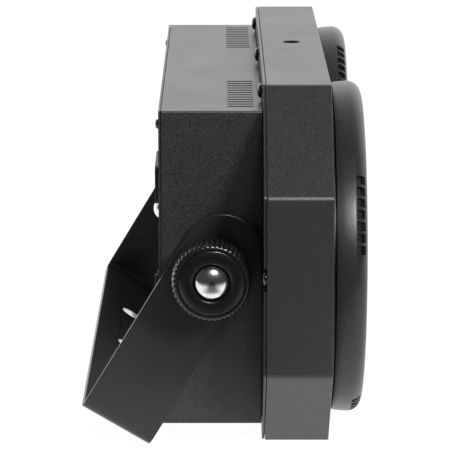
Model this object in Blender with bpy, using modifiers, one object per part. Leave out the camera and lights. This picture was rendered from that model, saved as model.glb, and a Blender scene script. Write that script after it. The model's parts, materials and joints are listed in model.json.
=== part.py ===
"""Two-lamp audience blinder: a vented steel lamp housing on a tilting yoke.

Units are metres and +Z is up.  The lamp faces -Y, its long side lies along X,
and it stands on the floor plane Z = 0 on its housing and the edge of its yoke,
which leans back against its stop.  Depths are given from the back face of the
rear plate: "front" is how far a face lies in front of it, "back" how far behind.
"""
import math

import bmesh
import bpy
from mathutils import Matrix, Vector

# Front housing: an eight-sided steel tray, open at the back
HOUSING_WIDTH = 0.4294
HOUSING_HEIGHT = 0.2140
CORNER_CUT = 0.0550
HOUSING_FRONT = 0.0395
HOUSING_SHEET = 0.0015
HOUSING_BEND = 0.0030
HOUSING_LIP = 0.0140
RIG_HOLE_RADIUS = 0.0055
RIG_HOLE_FRONT = 0.0205

# Rear plate that closes the tray and carries the lamps and the rear box
PLATE_THICKNESS = 0.0015
PLATE_NOTCH_WIDTH = 0.0140
PLATE_SIDE_STEP = 0.0020

# Rear box with the electronics
BOX_SIDE_STEP = 0.0477
BOX_LEVEL_STEP = 0.0134
BOX_DROP = 0.0006
BOX_BACK = 0.0604
BOX_SHEET = 0.0015
BOX_BEND = 0.0014
BOX_LIP_SIDE = 0.0090
BOX_LIP_LEVEL = 0.0140
PANEL_THICKNESS = 0.0012
VENT_COUNT = 12
VENT_PITCH = 0.00775
VENT_WIDTH = 0.0030
VENT_LENGTH = 0.0160
VENT_BACK = 0.0129

# General clearance between pieces that touch, and round a shaft or a plug
GAP = 0.0003
HOLE_CLEARANCE = 0.0004

# Screws
FRAME_SCREW_RADIUS = 0.0019
FRAME_SCREW_HEAD_RADIUS = 0.0042
FRAME_SCREW_HEAD_HEIGHT = 0.0026
FRAME_SCREW_LENGTH = 0.0080
FRAME_SCREW_END = 0.0817
FRAME_SCREW_LEVEL_EDGE = 0.0080
FRAME_SCREW_SIDE_EDGE = 0.0070
FRAME_SCREW_SIDE_RISE = 0.0044

# Lamps: two rings that fill the housing's length
RING_SIDE_MARGIN = 0.0061
LAMP_GAP = 0.0196
RING_FRONT = 0.0592
RING_WALL = 0.0025
RING_CORNER = 0.0080
RING_REAR_FRONT = 0.0415
RING_LIP_STEP = 0.0119
RING_RETURN = 0.0049
RING_RETURN_WALL = 0.0020
RING_WINDOW_COUNT = 7
RING_WINDOW_PITCH_DEG = 4.0
RING_WINDOW_WIDTH = 0.0052
RING_WINDOW_LENGTH = 0.0050
RING_WINDOW_FRONT = 0.0553
RING_WINDOW_GROUPS = 4
RING_WINDOW_TURN_DEG = {"left": 23.7, "right": 56.0}
BASE_NECK_STEP = 0.0059
BASE_NECK_LENGTH = 0.0017
BASE_COLLAR_STEP = 0.0094
LENS_STEP = 0.0064
LENS_THICKNESS = 0.0030
REFLECTOR_WALL = 0.0012
REFLECTOR_FLANGE_STEP = 0.0044
REFLECTOR_MOUTH_STEP = 0.0144
REFLECTOR_NECK_RADIUS = 0.0170
REFLECTOR_CURVE = 0.70
HOUSING_OPENING_STEP = 0.0134

# Light source on its cooler
PEDESTAL_RADIUS = 0.0260
PEDESTAL_FRONT = 0.0060
LED_SIDE = 0.0360
LED_THICKNESS = 0.0017
HOLDER_RADIUS = 0.0265
HOLDER_BORE_RADIUS = 0.0155
HOLDER_THICKNESS = 0.0030
COOLER_WIDTH = 0.0852
COOLER_HEIGHT = 0.1200
COOLER_BASE = 0.0060
COOLER_BACK = 0.0280
FIN_COUNT = 11
FIN_THICKNESS = 0.0016
FAN_EDGE = 0.0620
FAN_SIDE = 0.0700
FAN_THICKNESS = 0.0150
FAN_BORE_RADIUS = 0.0330
FAN_HUB_RADIUS = 0.0150
FAN_SPIDER_THICKNESS = 0.0020
FAN_STRUT_WIDTH = 0.0050
FAN_BLADE_COUNT = 7
FAN_BLADE_RADIUS = 0.0315
FAN_BLADE_THICKNESS = 0.0014
FAN_BLADE_PITCH_DEG = 38.0
FAN_ROTOR_DEPTH = 0.0118

# Electronics in the middle of the box
SUPPLY_SIDE_GAP = 0.0146
SUPPLY_HEIGHT = 0.1500
SUPPLY_DEPTH = 0.0300
DRIVER_WIDTH = 0.0960
DRIVER_HEIGHT = 0.0640
DRIVER_UP = 0.0380
DRIVER_STANDOFF = 0.0030
BOARD_THICKNESS = 0.0016
DRIVER_COIL_RADIUS = 0.0070
DRIVER_COIL_HEIGHT = 0.0060
CONTROL_WIDTH = 0.0840
CONTROL_HEIGHT = 0.0560
CONTROL_UP = 0.0440
CONTROL_STANDOFF = 0.0047
STANDOFF_RADIUS = 0.0025
STANDOFF_INSET = 0.0040
SWITCH_SIDE = 0.0060
SWITCH_HEIGHT = 0.0026

# Controls on the rear panel
DISPLAY_WIDTH = 0.0500
DISPLAY_HEIGHT = 0.0240
DISPLAY_UP = 0.0520
DISPLAY_PROUD = 0.0005
DISPLAY_RIM = 0.0030
DISPLAY_RIM_THICKNESS = 0.0010
BUTTON_COUNT = 4
BUTTON_PITCH = 0.0180
BUTTON_UP = 0.0260
BUTTON_RADIUS = 0.0037
BUTTON_PROUD = 0.0018
BUTTON_RIM = 0.0008
BUTTON_RIM_THICKNESS = 0.0010

# Data sockets on the rear panel
SOCKET_OFFSET = 0.0320
SOCKET_UP = -0.0220
SOCKET_WIDTH = 0.0260
SOCKET_HEIGHT = 0.0310
SOCKET_FLANGE = 0.0025
SOCKET_CORNER = 0.0030
SOCKET_RADIUS = 0.0118
SOCKET_DEPTH = 0.0240
SOCKET_CAVITY_DEPTH = 0.0150
SOCKET_CAVITY_RADIUS = 0.0095
PIN_RADIUS = 0.0012
PIN_CIRCLE = 0.0036
PIN_LENGTH = 0.0110
CORE_RADIUS = 0.0076
CONTACT_RADIUS = 0.0015
CONTACT_DEPTH = 0.0110
LATCH_WIDTH = 0.0060
LATCH_HEIGHT = 0.0020
LATCH_UP = 0.0131
LATCH_LENGTH = 0.0025
LATCH_PROUD = 0.0012

# Mains inlet and its fuse
INLET_EDGE = 0.0340
INLET_UP = 0.0480
INLET_WIDTH = 0.0500
INLET_HEIGHT = 0.0225
INLET_FLANGE = 0.0020
INLET_BODY_WIDTH = 0.0270
INLET_BODY_HEIGHT = 0.0198
INLET_DEPTH = 0.0240
INLET_CAVITY_WIDTH = 0.0242
INLET_CAVITY_HEIGHT = 0.0162
INLET_CAVITY_CUT = 0.0045
INLET_CAVITY_DEPTH = 0.0160
INLET_PIN_WIDTH = 0.0020
INLET_PIN_HEIGHT = 0.0040
INLET_PIN_LENGTH = 0.0130
INLET_PIN_ACROSS = 0.0070
INLET_PIN_RISE = 0.0020
FUSE_EDGE = 0.0180
FUSE_UP = -0.0130
FUSE_RADIUS = 0.0062
FUSE_FLANGE_RADIUS = 0.0080
FUSE_FLANGE = 0.0008
FUSE_DEPTH = 0.0200
FUSE_BORE_RADIUS = 0.0042
FUSE_BORE_DEPTH = 0.0170
FUSE_CAP_RADIUS = 0.0060
FUSE_CAP_HEIGHT = 0.0012
FUSE_STEM_LENGTH = 0.0150
FUSE_SLOT_DEPTH = 0.0008
FUSE_SLOT_WIDTH = 0.0014

# Fan grilles in the rear panel
GRILLE_BARS = 8
GRILLE_PITCH = 0.0078
GRILLE_SLOT = 0.0042
GRILLE_RADIUS = 0.0325

# Screws that hold the panel, and the bolt for a safety cable
PANEL_SCREW_SIDE_INSET = 0.0170
PANEL_SCREW_LEVEL_INSET = 0.0106
PANEL_SCREW_RADIUS = 0.0015
PANEL_SCREW_HEAD_RADIUS = 0.0028
PANEL_SCREW_HEAD_HEIGHT = 0.0018
PANEL_SCREW_LENGTH = 0.0060
SAFETY_OFFSET = 0.0410
SAFETY_UP = 0.0085
SAFETY_HEAD_RADIUS = 0.0068
SAFETY_HEAD_HEIGHT = 0.0057
SAFETY_SHANK_RADIUS = 0.0030
SAFETY_LENGTH = 0.0120
SAFETY_NUT_RADIUS = 0.0050
SAFETY_NUT_THICKNESS = 0.0050

# Yoke: a bent steel strip, and the pivots that clamp it
PIVOT_BACK = 0.0296
YOKE_WIDTH = 0.0460
YOKE_THICKNESS = 0.0030
YOKE_BEND = 0.0040
YOKE_CLEARANCE = 0.0010
YOKE_HEEL = 0.0120
YOKE_STOP_GAP = 0.00042
YOKE_HOLE_RADIUS = 0.0065
YOKE_HOLE_OFFSET = 0.0800
FRICTION_WASHER_RADIUS = 0.0140
KNOB_WASHER_RADIUS = 0.0120
FRICTION_WASHER_THICKNESS = 0.0012
KNOB_WASHER_THICKNESS = 0.0016
STUD_RADIUS = 0.0040
BOSS_RADIUS = 0.0090
BOSS_CLEARANCE = 0.0004
KNOB_RADIUS = 0.0228
KNOB_RIDGES = 45
KNOB_RIDGE_DEPTH = 0.0010
KNOB_LENGTH = 0.0185
KNOB_RIM = 0.0012
KNOB_HUB_RADIUS = 0.0125
KNOB_HUB_LENGTH = 0.0092
KNOB_GROOVE_RADIUS = 0.0193
KNOB_GROOVE_WIDTH = 0.0007
KNOB_GROOVE_DEPTH = 0.0006
CAP_RADIUS = 0.0101
CAP_RECESS_DEPTH = 0.0030
CAP_RECESS_MARGIN = 0.0010
CAP_DOME = 0.0052

PAN_HEAD_CURVE = ((0.75, 0.92), (1.0, 0.35))
ROUND_SEGMENTS = 48
MEDIUM_SEGMENTS = 24
SMALL_SEGMENTS = 16
SCREW_SEGMENTS = 12
REFLECTOR_STEPS = 5
MERGE_DISTANCE = 0.00001
SIDES = {"left": -1.0, "right": 1.0}

# Sizes and places that follow from the ones above
BOX_WIDTH = HOUSING_WIDTH - 2 * BOX_SIDE_STEP
BOX_HEIGHT = HOUSING_HEIGHT - 2 * BOX_LEVEL_STEP
RING_RADIUS = (HOUSING_WIDTH / 2 - RING_SIDE_MARGIN - LAMP_GAP / 2) / 2
RING_LIP_RADIUS = RING_RADIUS - RING_LIP_STEP
BASE_NECK_RADIUS = RING_RADIUS - BASE_NECK_STEP
BASE_COLLAR_INNER_RADIUS = RING_RADIUS - BASE_COLLAR_STEP
LENS_RADIUS = RING_RADIUS - LENS_STEP
REFLECTOR_FLANGE_RADIUS = RING_RADIUS - REFLECTOR_FLANGE_STEP
REFLECTOR_MOUTH_RADIUS = RING_RADIUS - REFLECTOR_MOUTH_STEP
HOUSING_OPENING_RADIUS = RING_RADIUS - HOUSING_OPENING_STEP
LAMP_X = RING_RADIUS + LAMP_GAP / 2
FAN_X = BOX_WIDTH / 2 - FAN_EDGE
INLET_X = INLET_EDGE - BOX_WIDTH / 2
FUSE_X = FUSE_EDGE - BOX_WIDTH / 2
SUPPLY_WIDTH = 2 * LAMP_X - COOLER_WIDTH - 2 * SUPPLY_SIDE_GAP
BOSS_START = LAMP_X + COOLER_WIDTH / 2 + BOSS_CLEARANCE
BOSS_LENGTH = BOX_WIDTH / 2 - BOX_SHEET - GAP - BOSS_START
YOKE_REACH = HOUSING_HEIGHT / 2 + YOKE_CLEARANCE + YOKE_THICKNESS
TILT = math.asin((PIVOT_BACK - YOKE_WIDTH / 2 - YOKE_STOP_GAP) / YOKE_HEEL)
YOKE_REAR_REACH = PIVOT_BACK + YOKE_REACH * math.sin(TILT) + YOKE_WIDTH / 2 * math.cos(TILT)
PLATE_Y = (RING_FRONT - YOKE_REAR_REACH) / 2
AXIS_Z = HOUSING_HEIGHT / 2
BOX_Z = AXIS_Z - BOX_DROP
PIVOT = Vector((0.0, PLATE_Y + PIVOT_BACK, AXIS_Z))
PANEL_Y = PLATE_Y + BOX_BACK
PANEL_INNER_Y = PANEL_Y - PANEL_THICKNESS
FACING_FRONT = Matrix.Rotation(math.radians(90.0), 4, "X")
FACING_BACK = Matrix.Rotation(math.radians(-90.0), 4, "X")
UPRIGHT = Matrix.Identity(4)
FACING_SIDE = Matrix.Rotation(math.radians(90.0), 4, "Z") @ FACING_FRONT


def clear_scene():
    """Remove every object that the startup file or an earlier run left."""
    for old in list(bpy.data.objects):
        bpy.data.objects.remove(old, do_unlink=True)
    for name in ("audience_blinder", "cutters"):
        if name in bpy.data.collections:
            bpy.data.collections.remove(bpy.data.collections[name])


clear_scene()
PARTS = bpy.data.collections.new("audience_blinder")
CUTTERS = bpy.data.collections.new("cutters")
bpy.context.scene.collection.children.link(PARTS)
bpy.context.scene.collection.children.link(CUTTERS)


def make_material(name, colour, roughness, metallic=0.0, transmission=0.0):
    """A Principled material of one colour."""
    material = bpy.data.materials.new(name)
    material.use_nodes = True
    shader = material.node_tree.nodes["Principled BSDF"]
    shader.inputs["Base Color"].default_value = (*colour, 1.0)
    shader.inputs["Roughness"].default_value = roughness
    shader.inputs["Metallic"].default_value = metallic
    shader.inputs["Transmission Weight"].default_value = transmission
    material.diffuse_color = (*colour, 1.0)
    return material


POWDER_COAT = make_material("black_powder_coat", (0.035, 0.035, 0.037), 0.55)
SATIN_BLACK = make_material("satin_black_paint", (0.025, 0.025, 0.027), 0.42)
RING_PLASTIC = make_material("ring_plastic", (0.040, 0.040, 0.042), 0.50)
KNOB_PLASTIC = make_material("knob_plastic", (0.015, 0.015, 0.016), 0.38)
BLACK_PLASTIC = make_material("black_plastic", (0.020, 0.020, 0.022), 0.45)
CHROME = make_material("chrome", (0.82, 0.82, 0.83), 0.10, metallic=1.0)
BLACK_STEEL = make_material("blackened_screw_steel", (0.10, 0.10, 0.11), 0.25, metallic=1.0)
ZINC_STEEL = make_material("zinc_steel", (0.55, 0.56, 0.58), 0.35, metallic=1.0)
ALUMINIUM = make_material("cooler_aluminium", (0.62, 0.63, 0.65), 0.40, metallic=1.0)
MIRROR = make_material("reflector_mirror", (0.88, 0.88, 0.89), 0.08, metallic=1.0)
CLEAR_GLASS = make_material("clear_glass", (0.95, 0.97, 0.98), 0.03, transmission=1.0)
PHOSPHOR = make_material("led_phosphor", (0.90, 0.68, 0.14), 0.60)
CIRCUIT_BOARD = make_material("circuit_board", (0.02, 0.16, 0.07), 0.50)
RUBBER = make_material("washer_rubber", (0.02, 0.02, 0.02), 0.85)
DISPLAY_BLUE = make_material("display_window", (0.03, 0.07, 0.16), 0.12)
SOCKET_METAL = make_material("socket_metal", (0.30, 0.30, 0.31), 0.35, metallic=1.0)


def add_object(name, mesh, material=None, cutter=False):
    """Put a mesh in the scene as a part, or as a hidden cutter."""
    piece = bpy.data.objects.new(name, mesh)
    if cutter:
        CUTTERS.objects.link(piece)
        piece.hide_render = True
        piece.display_type = "WIRE"
    else:
        PARTS.objects.link(piece)
        mesh.materials.append(material)
    return piece


def mesh_from(bm, name):
    """Turn a bmesh into a mesh with its faces pointing outwards."""
    bmesh.ops.recalc_face_normals(bm, faces=bm.faces)
    mesh = bpy.data.meshes.new(name)
    bm.to_mesh(mesh)
    bm.free()
    return mesh


def rounded(corners, radius, steps=2):
    """Points of a convex outline whose corners are arcs of one radius."""
    points = []
    count = len(corners)
    for index, corner in enumerate(corners):
        here = Vector(corner)
        before = (Vector(corners[index - 1]) - here).normalized()
        after = (Vector(corners[(index + 1) % count]) - here).normalized()
        half_angle = before.angle(after) / 2
        bisector = (before + after).normalized()
        centre = here + bisector * radius / math.sin(half_angle)
        start = here + before * radius / math.tan(half_angle)
        sweep = math.pi - 2 * half_angle
        turn = 1.0 if before.cross(after) < 0 else -1.0
        for step in range(steps + 1):
            angle = turn * sweep * step / steps
            spoke = Matrix.Rotation(angle, 2) @ (start - centre)
            points.append(tuple(centre + spoke))
    return points


def rectangle(width, height, centre=(0.0, 0.0)):
    """The four corners of a rectangle, anticlockwise."""
    half_w = width / 2
    half_h = height / 2
    signs = ((-1, -1), (1, -1), (1, 1), (-1, 1))
    return [(centre[0] + sx * half_w, centre[1] + sz * half_h) for sx, sz in signs]


def octagon(width, height, cut, inset=0.0):
    """The housing's eight-sided outline, drawn in by an inset."""
    half_w = width / 2 - inset
    half_h = height / 2 - inset
    leg = cut - inset * (2.0 - math.sqrt(2.0))
    flat_x = half_w - leg
    flat_z = half_h - leg
    return [
        (-flat_x, -half_h), (flat_x, -half_h), (half_w, -flat_z), (half_w, flat_z),
        (flat_x, half_h), (-flat_x, half_h), (-half_w, flat_z), (-half_w, -flat_z),
    ]


def prism_mesh(name, outline, low, high, turn=FACING_FRONT):
    """A flat outline as a filled curve, made a mesh from low to high.

    The outline lies in X and Z and is extruded along Y, unless turn gives
    other directions to the curve's own X, Y and Z.
    """
    curve = bpy.data.curves.new(name, "CURVE")
    curve.dimensions = "2D"
    curve.fill_mode = "BOTH"
    curve.extrude = (high - low) / 2
    spline = curve.splines.new("POLY")
    spline.points.add(len(outline) - 1)
    spline.use_cyclic_u = True
    for point, (across, up) in zip(spline.points, outline):
        point.co = (across, up, 0.0, 1.0)
    holder = bpy.data.objects.new(name, curve)
    CUTTERS.objects.link(holder)
    mesh = bpy.data.meshes.new_from_object(
        holder.evaluated_get(bpy.context.evaluated_depsgraph_get()))
    bpy.data.objects.remove(holder)
    bpy.data.curves.remove(curve)
    middle = (low + high) / 2
    if turn is FACING_FRONT:
        middle = -middle
    bm = bmesh.new()
    bm.from_mesh(mesh)
    bpy.data.meshes.remove(mesh)
    bmesh.ops.remove_doubles(bm, verts=bm.verts, dist=MERGE_DISTANCE)
    bmesh.ops.transform(
        bm, matrix=turn @ Matrix.Translation((0.0, 0.0, middle)), verts=bm.verts)
    return mesh_from(bm, name)


def box_mesh(name, size, centre):
    """A box of a given size about a centre."""
    bm = bmesh.new()
    place = Matrix.Translation(centre) @ Matrix.Diagonal((*size, 1.0))
    bmesh.ops.create_cube(bm, size=1.0, matrix=place)
    return mesh_from(bm, name)


def cylinder_mesh(name, radius, low, high, segments, turn=FACING_BACK, place=(0, 0, 0)):
    """A cylinder from low to high along the axis that turn gives to local Z."""
    bm = bmesh.new()
    middle = Matrix.Translation((0.0, 0.0, (low + high) / 2))
    matrix = Matrix.Translation(place) @ turn @ middle
    bmesh.ops.create_cone(
        bm, cap_ends=True, segments=segments, radius1=radius, radius2=radius,
        depth=high - low, matrix=matrix)
    return mesh_from(bm, name)


def boolean(piece, other, operation="DIFFERENCE"):
    """Cut, join or intersect a piece with another object."""
    modifier = piece.modifiers.new(operation.lower(), "BOOLEAN")
    modifier.operation = operation
    modifier.solver = "EXACT"
    modifier.object = other


def cut_with(piece, mesh):
    """Cut a piece with a mesh kept as a hidden cutter."""
    boolean(piece, add_object(mesh.name, mesh, cutter=True))


def join_with(piece, mesh):
    """Join a mesh, kept as a hidden object, to a piece."""
    boolean(piece, add_object(mesh.name, mesh, cutter=True), "UNION")


def merged_mesh(name, meshes):
    """Several closed bodies in one mesh, for a cutter with many teeth."""
    bm = bmesh.new()
    for mesh in meshes:
        bm.from_mesh(mesh)
        bpy.data.meshes.remove(mesh)
    return mesh_from(bm, name)


def smooth(piece, angle_deg=35.0):
    """Shade a round piece smooth, with its real edges kept sharp."""
    piece.data.shade_smooth()
    piece.data.set_sharp_from_angle(angle=math.radians(angle_deg))


def turned(name, profile, material, turn, place, segments=ROUND_SEGMENTS, ring=False):
    """A profile of (radius, height) points spun about local Z.

    The profile starts at the top and runs down the outer side.  A ring's
    profile closes on itself, and any other starts and ends on the axis.
    """
    bm = bmesh.new()
    points = [bm.verts.new((radius, 0.0, height)) for radius, height in profile]
    for first, second in zip(points, points[1:]):
        bm.edges.new((first, second))
    if ring:
        bm.edges.new((points[-1], points[0]))
    mesh = bpy.data.meshes.new(name)
    bm.to_mesh(mesh)
    bm.free()
    piece = add_object(name, mesh, material)
    piece.matrix_world = Matrix.Translation(place) @ turn
    screw = piece.modifiers.new("turn", "SCREW")
    screw.axis = "Z"
    screw.angle = math.tau
    screw.steps = segments
    screw.render_steps = segments
    screw.use_merge_vertices = True
    screw.merge_threshold = MERGE_DISTANCE
    screw.use_smooth_shade = True
    return piece


def turned_cutter(name, profile, turn, place):
    """A ring-shaped cutter, hidden like the others."""
    tool = turned(name, profile, None, turn, place, segments=MEDIUM_SEGMENTS, ring=True)
    PARTS.objects.unlink(tool)
    CUTTERS.objects.link(tool)
    tool.hide_render = True
    tool.display_type = "WIRE"
    return tool


def arc(centre, radius, start_deg, end_deg, steps):
    """Points of a profile's round stretch."""
    points = []
    for step in range(steps + 1):
        angle = math.radians(start_deg + (end_deg - start_deg) * step / steps)
        points.append((centre[0] + radius * math.cos(angle), centre[1] + radius * math.sin(angle)))
    return points


def sheet_shell(name, rings, closed_end, thickness, material):
    """A folded sheet: outlines (points, y) joined in order, then thickened inwards."""
    bm = bmesh.new()
    outline, y = rings[0]
    verts = [bm.verts.new((px, y, pz)) for px, pz in outline]
    edges = [bm.edges.new((verts[i - 1], verts[i])) for i in range(len(verts))]
    if closed_end:
        bm.faces.new(verts)
    for next_outline, next_y in rings[1:]:
        grown = bmesh.ops.extrude_edge_only(bm, edges=edges)["geom"]
        moved = {item for item in grown if isinstance(item, bmesh.types.BMVert)}
        edges = [
            item for item in grown
            if isinstance(item, bmesh.types.BMEdge) and set(item.verts) <= moved]
        for vert in moved:
            spot = min(
                range(len(outline)),
                key=lambda i: math.hypot(outline[i][0] - vert.co.x, outline[i][1] - vert.co.z))
            vert.co = (next_outline[spot][0], next_y, next_outline[spot][1])
        outline = next_outline
    bmesh.ops.recalc_face_normals(bm, faces=bm.faces)
    bm.faces.ensure_lookup_table()
    highest = max(bm.faces, key=lambda face: face.calc_center_median().z)
    if highest.normal.z < 0:
        bmesh.ops.reverse_faces(bm, faces=bm.faces)
    mesh = bpy.data.meshes.new(name)
    bm.to_mesh(mesh)
    bm.free()
    piece = add_object(name, mesh, material)
    solidify = piece.modifiers.new("sheet", "SOLIDIFY")
    solidify.thickness = thickness
    solidify.offset = -1.0
    solidify.use_even_offset = True
    return piece


def frame_screw_places():
    """Name, X, Z and seat of the eight screws that hold the rear plate."""
    row = HOUSING_HEIGHT / 2 - FRAME_SCREW_LEVEL_EDGE
    side = HOUSING_WIDTH / 2 - FRAME_SCREW_SIDE_EDGE
    across_row = HOUSING_WIDTH / 2 - FRAME_SCREW_END
    places = []
    for level, up in (("top", row), ("bottom", -row)):
        for place, across in (("left", -1.0), ("middle", 0.0), ("right", 1.0)):
            places.append((f"{level}_{place}", across * across_row, up, PLATE_Y))
    seat = PLATE_Y - PLATE_THICKNESS - GAP
    for side_name, sign in SIDES.items():
        places.append((f"side_{side_name}", sign * side, FRAME_SCREW_SIDE_RISE, seat))
    return places


def front_housing():
    """The eight-sided tray, with a lip at the back and two lamp openings."""
    front = PLATE_Y - HOUSING_FRONT
    rear = PLATE_Y - PLATE_THICKNESS - GAP
    wall = [(x, z + AXIS_Z) for x, z in rounded(
        octagon(HOUSING_WIDTH, HOUSING_HEIGHT, CORNER_CUT), HOUSING_BEND)]
    lip = [(x, z + AXIS_Z) for x, z in rounded(
        octagon(HOUSING_WIDTH, HOUSING_HEIGHT, CORNER_CUT, HOUSING_LIP), HOUSING_BEND)]
    piece = sheet_shell(
        "front_housing", [(wall, front), (wall, rear), (lip, rear)], True, HOUSING_SHEET, POWDER_COAT)
    openings = [cylinder_mesh(
        "lamp_opening", HOUSING_OPENING_RADIUS, front - HOUSING_SHEET, front + 2 * HOUSING_SHEET,
        ROUND_SEGMENTS, place=(sign * LAMP_X, 0.0, AXIS_Z)) for sign in SIDES.values()]
    cut_with(piece, merged_mesh("lamp_openings", openings))
    upright = cylinder_mesh(
        "rig_holes", RIG_HOLE_RADIUS, -HOUSING_SHEET, HOUSING_HEIGHT + HOUSING_SHEET,
        SMALL_SEGMENTS, turn=UPRIGHT, place=(0.0, PLATE_Y - RIG_HOLE_FRONT, 0.0))
    cut_with(piece, upright)
    pilots = [cylinder_mesh(
        "pilot", FRAME_SCREW_RADIUS + GAP, rear - 2 * HOUSING_SHEET, rear + HOUSING_SHEET,
        SCREW_SEGMENTS, place=(x, 0.0, AXIS_Z + up)) for _, x, up, _ in frame_screw_places()]
    cut_with(piece, merged_mesh("frame_pilots", pilots))
    return piece


def rear_plate():
    """The flat plate behind the tray, a little narrower, notched for two side screws."""
    outline = [(x, z + AXIS_Z) for x, z in rounded(
        octagon(HOUSING_WIDTH - 2 * PLATE_SIDE_STEP, HOUSING_HEIGHT, CORNER_CUT), HOUSING_BEND)]
    mesh = prism_mesh("rear_plate", outline, PLATE_Y - PLATE_THICKNESS, PLATE_Y)
    piece = add_object("rear_plate", mesh, POWDER_COAT)
    low = PLATE_Y - 2 * PLATE_THICKNESS
    high = PLATE_Y + PLATE_THICKNESS
    tools = []
    for sign in SIDES.values():
        tools.append(cylinder_mesh(
            "pedestal_hole", PEDESTAL_RADIUS + HOLE_CLEARANCE, low, high, MEDIUM_SEGMENTS,
            place=(sign * LAMP_X, 0.0, AXIS_Z)))
        notch_x = sign * (HOUSING_WIDTH / 2 - FRAME_SCREW_SIDE_EDGE + PLATE_NOTCH_WIDTH / 2)
        tools.append(box_mesh(
            "side_notch", (2 * PLATE_NOTCH_WIDTH, high - low, PLATE_NOTCH_WIDTH),
            (notch_x, (low + high) / 2, AXIS_Z + FRAME_SCREW_SIDE_RISE)))
    for name, x, up, _ in frame_screw_places():
        if not name.startswith("side"):
            tools.append(cylinder_mesh(
                "screw_hole", FRAME_SCREW_RADIUS + HOLE_CLEARANCE, low, high, SCREW_SEGMENTS,
                place=(x, 0.0, AXIS_Z + up)))
    cut_with(piece, merged_mesh("rear_plate_holes", tools))
    return piece


def pan_screw(name, place, radius, head_radius, head_height, length, material):
    """A pan-head screw facing back, seated at its place."""
    profile = [(0.0, head_height)]
    profile += [(head_radius * across, head_height * up) for across, up in PAN_HEAD_CURVE]
    profile += [(head_radius, 0.0), (radius, 0.0), (radius, -length), (0.0, -length)]
    return turned(name, profile, material, FACING_BACK, place, segments=SCREW_SEGMENTS)


def frame_screws():
    """Eight screws through the rear plate into the tray's lip."""
    for name, x, up, seat in frame_screw_places():
        pan_screw(
            f"frame_screw_{name}", (x, seat + GAP, AXIS_Z + up), FRAME_SCREW_RADIUS,
            FRAME_SCREW_HEAD_RADIUS, FRAME_SCREW_HEAD_HEIGHT, FRAME_SCREW_LENGTH, BLACK_STEEL)


def panel_screw_places():
    """Name, X and height above the box's middle of the panel's corner screws."""
    places = []
    row = BOX_HEIGHT / 2 - PANEL_SCREW_LEVEL_INSET
    across = BOX_WIDTH / 2 - PANEL_SCREW_SIDE_INSET
    for level, up in (("top", row), ("bottom", -row)):
        for side_name, sign in SIDES.items():
            places.append((f"{level}_{side_name}", sign * across, up))
    return places


def panel_screws():
    """Four screws through the panel into the box's rear lip."""
    for name, x, up in panel_screw_places():
        pan_screw(
            f"panel_screw_{name}", (x, PANEL_Y + GAP, BOX_Z + up), PANEL_SCREW_RADIUS,
            PANEL_SCREW_HEAD_RADIUS, PANEL_SCREW_HEAD_HEIGHT, PANEL_SCREW_LENGTH, BLACK_STEEL)


def rear_housing():
    """The rear box: one folded sheet with a lip at each end and slots over the coolers."""
    front = PLATE_Y + GAP
    rear = PANEL_INNER_Y - GAP
    wall = [(x, z + BOX_Z) for x, z in rounded(rectangle(BOX_WIDTH, BOX_HEIGHT), BOX_BEND)]
    inner = rectangle(BOX_WIDTH - 2 * BOX_LIP_SIDE, BOX_HEIGHT - 2 * BOX_LIP_LEVEL)
    lip = [(x, z + BOX_Z) for x, z in rounded(inner, BOX_BEND)]
    piece = sheet_shell(
        "rear_housing", [(lip, front), (wall, front), (wall, rear), (lip, rear)], False, BOX_SHEET,
        POWDER_COAT)
    slots = []
    for sign in SIDES.values():
        for index in range(VENT_COUNT):
            x = sign * LAMP_X + (index - (VENT_COUNT - 1) / 2) * VENT_PITCH
            slots.append(box_mesh(
                "slot", (VENT_WIDTH, VENT_LENGTH, BOX_HEIGHT + 4 * BOX_SHEET),
                (x, PLATE_Y + VENT_BACK, BOX_Z)))
    cut_with(piece, merged_mesh("vent_slots", slots))
    pivot_hole = cylinder_mesh(
        "pivot_holes", STUD_RADIUS + HOLE_CLEARANCE, -BOX_WIDTH, BOX_WIDTH, SMALL_SEGMENTS,
        turn=Matrix.Rotation(math.radians(90.0), 4, "Y"), place=PIVOT)
    cut_with(piece, pivot_hole)
    pilots = [cylinder_mesh(
        "pilot", PANEL_SCREW_RADIUS + GAP, rear - 2 * BOX_SHEET, rear + BOX_SHEET, SCREW_SEGMENTS,
        place=(x, 0.0, BOX_Z + up)) for _, x, up in panel_screw_places()]
    cut_with(piece, merged_mesh("panel_pilots", pilots))
    return piece


def button_x(index):
    """How far a menu button stands from the middle."""
    return (index - (BUTTON_COUNT - 1) / 2) * BUTTON_PITCH


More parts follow.
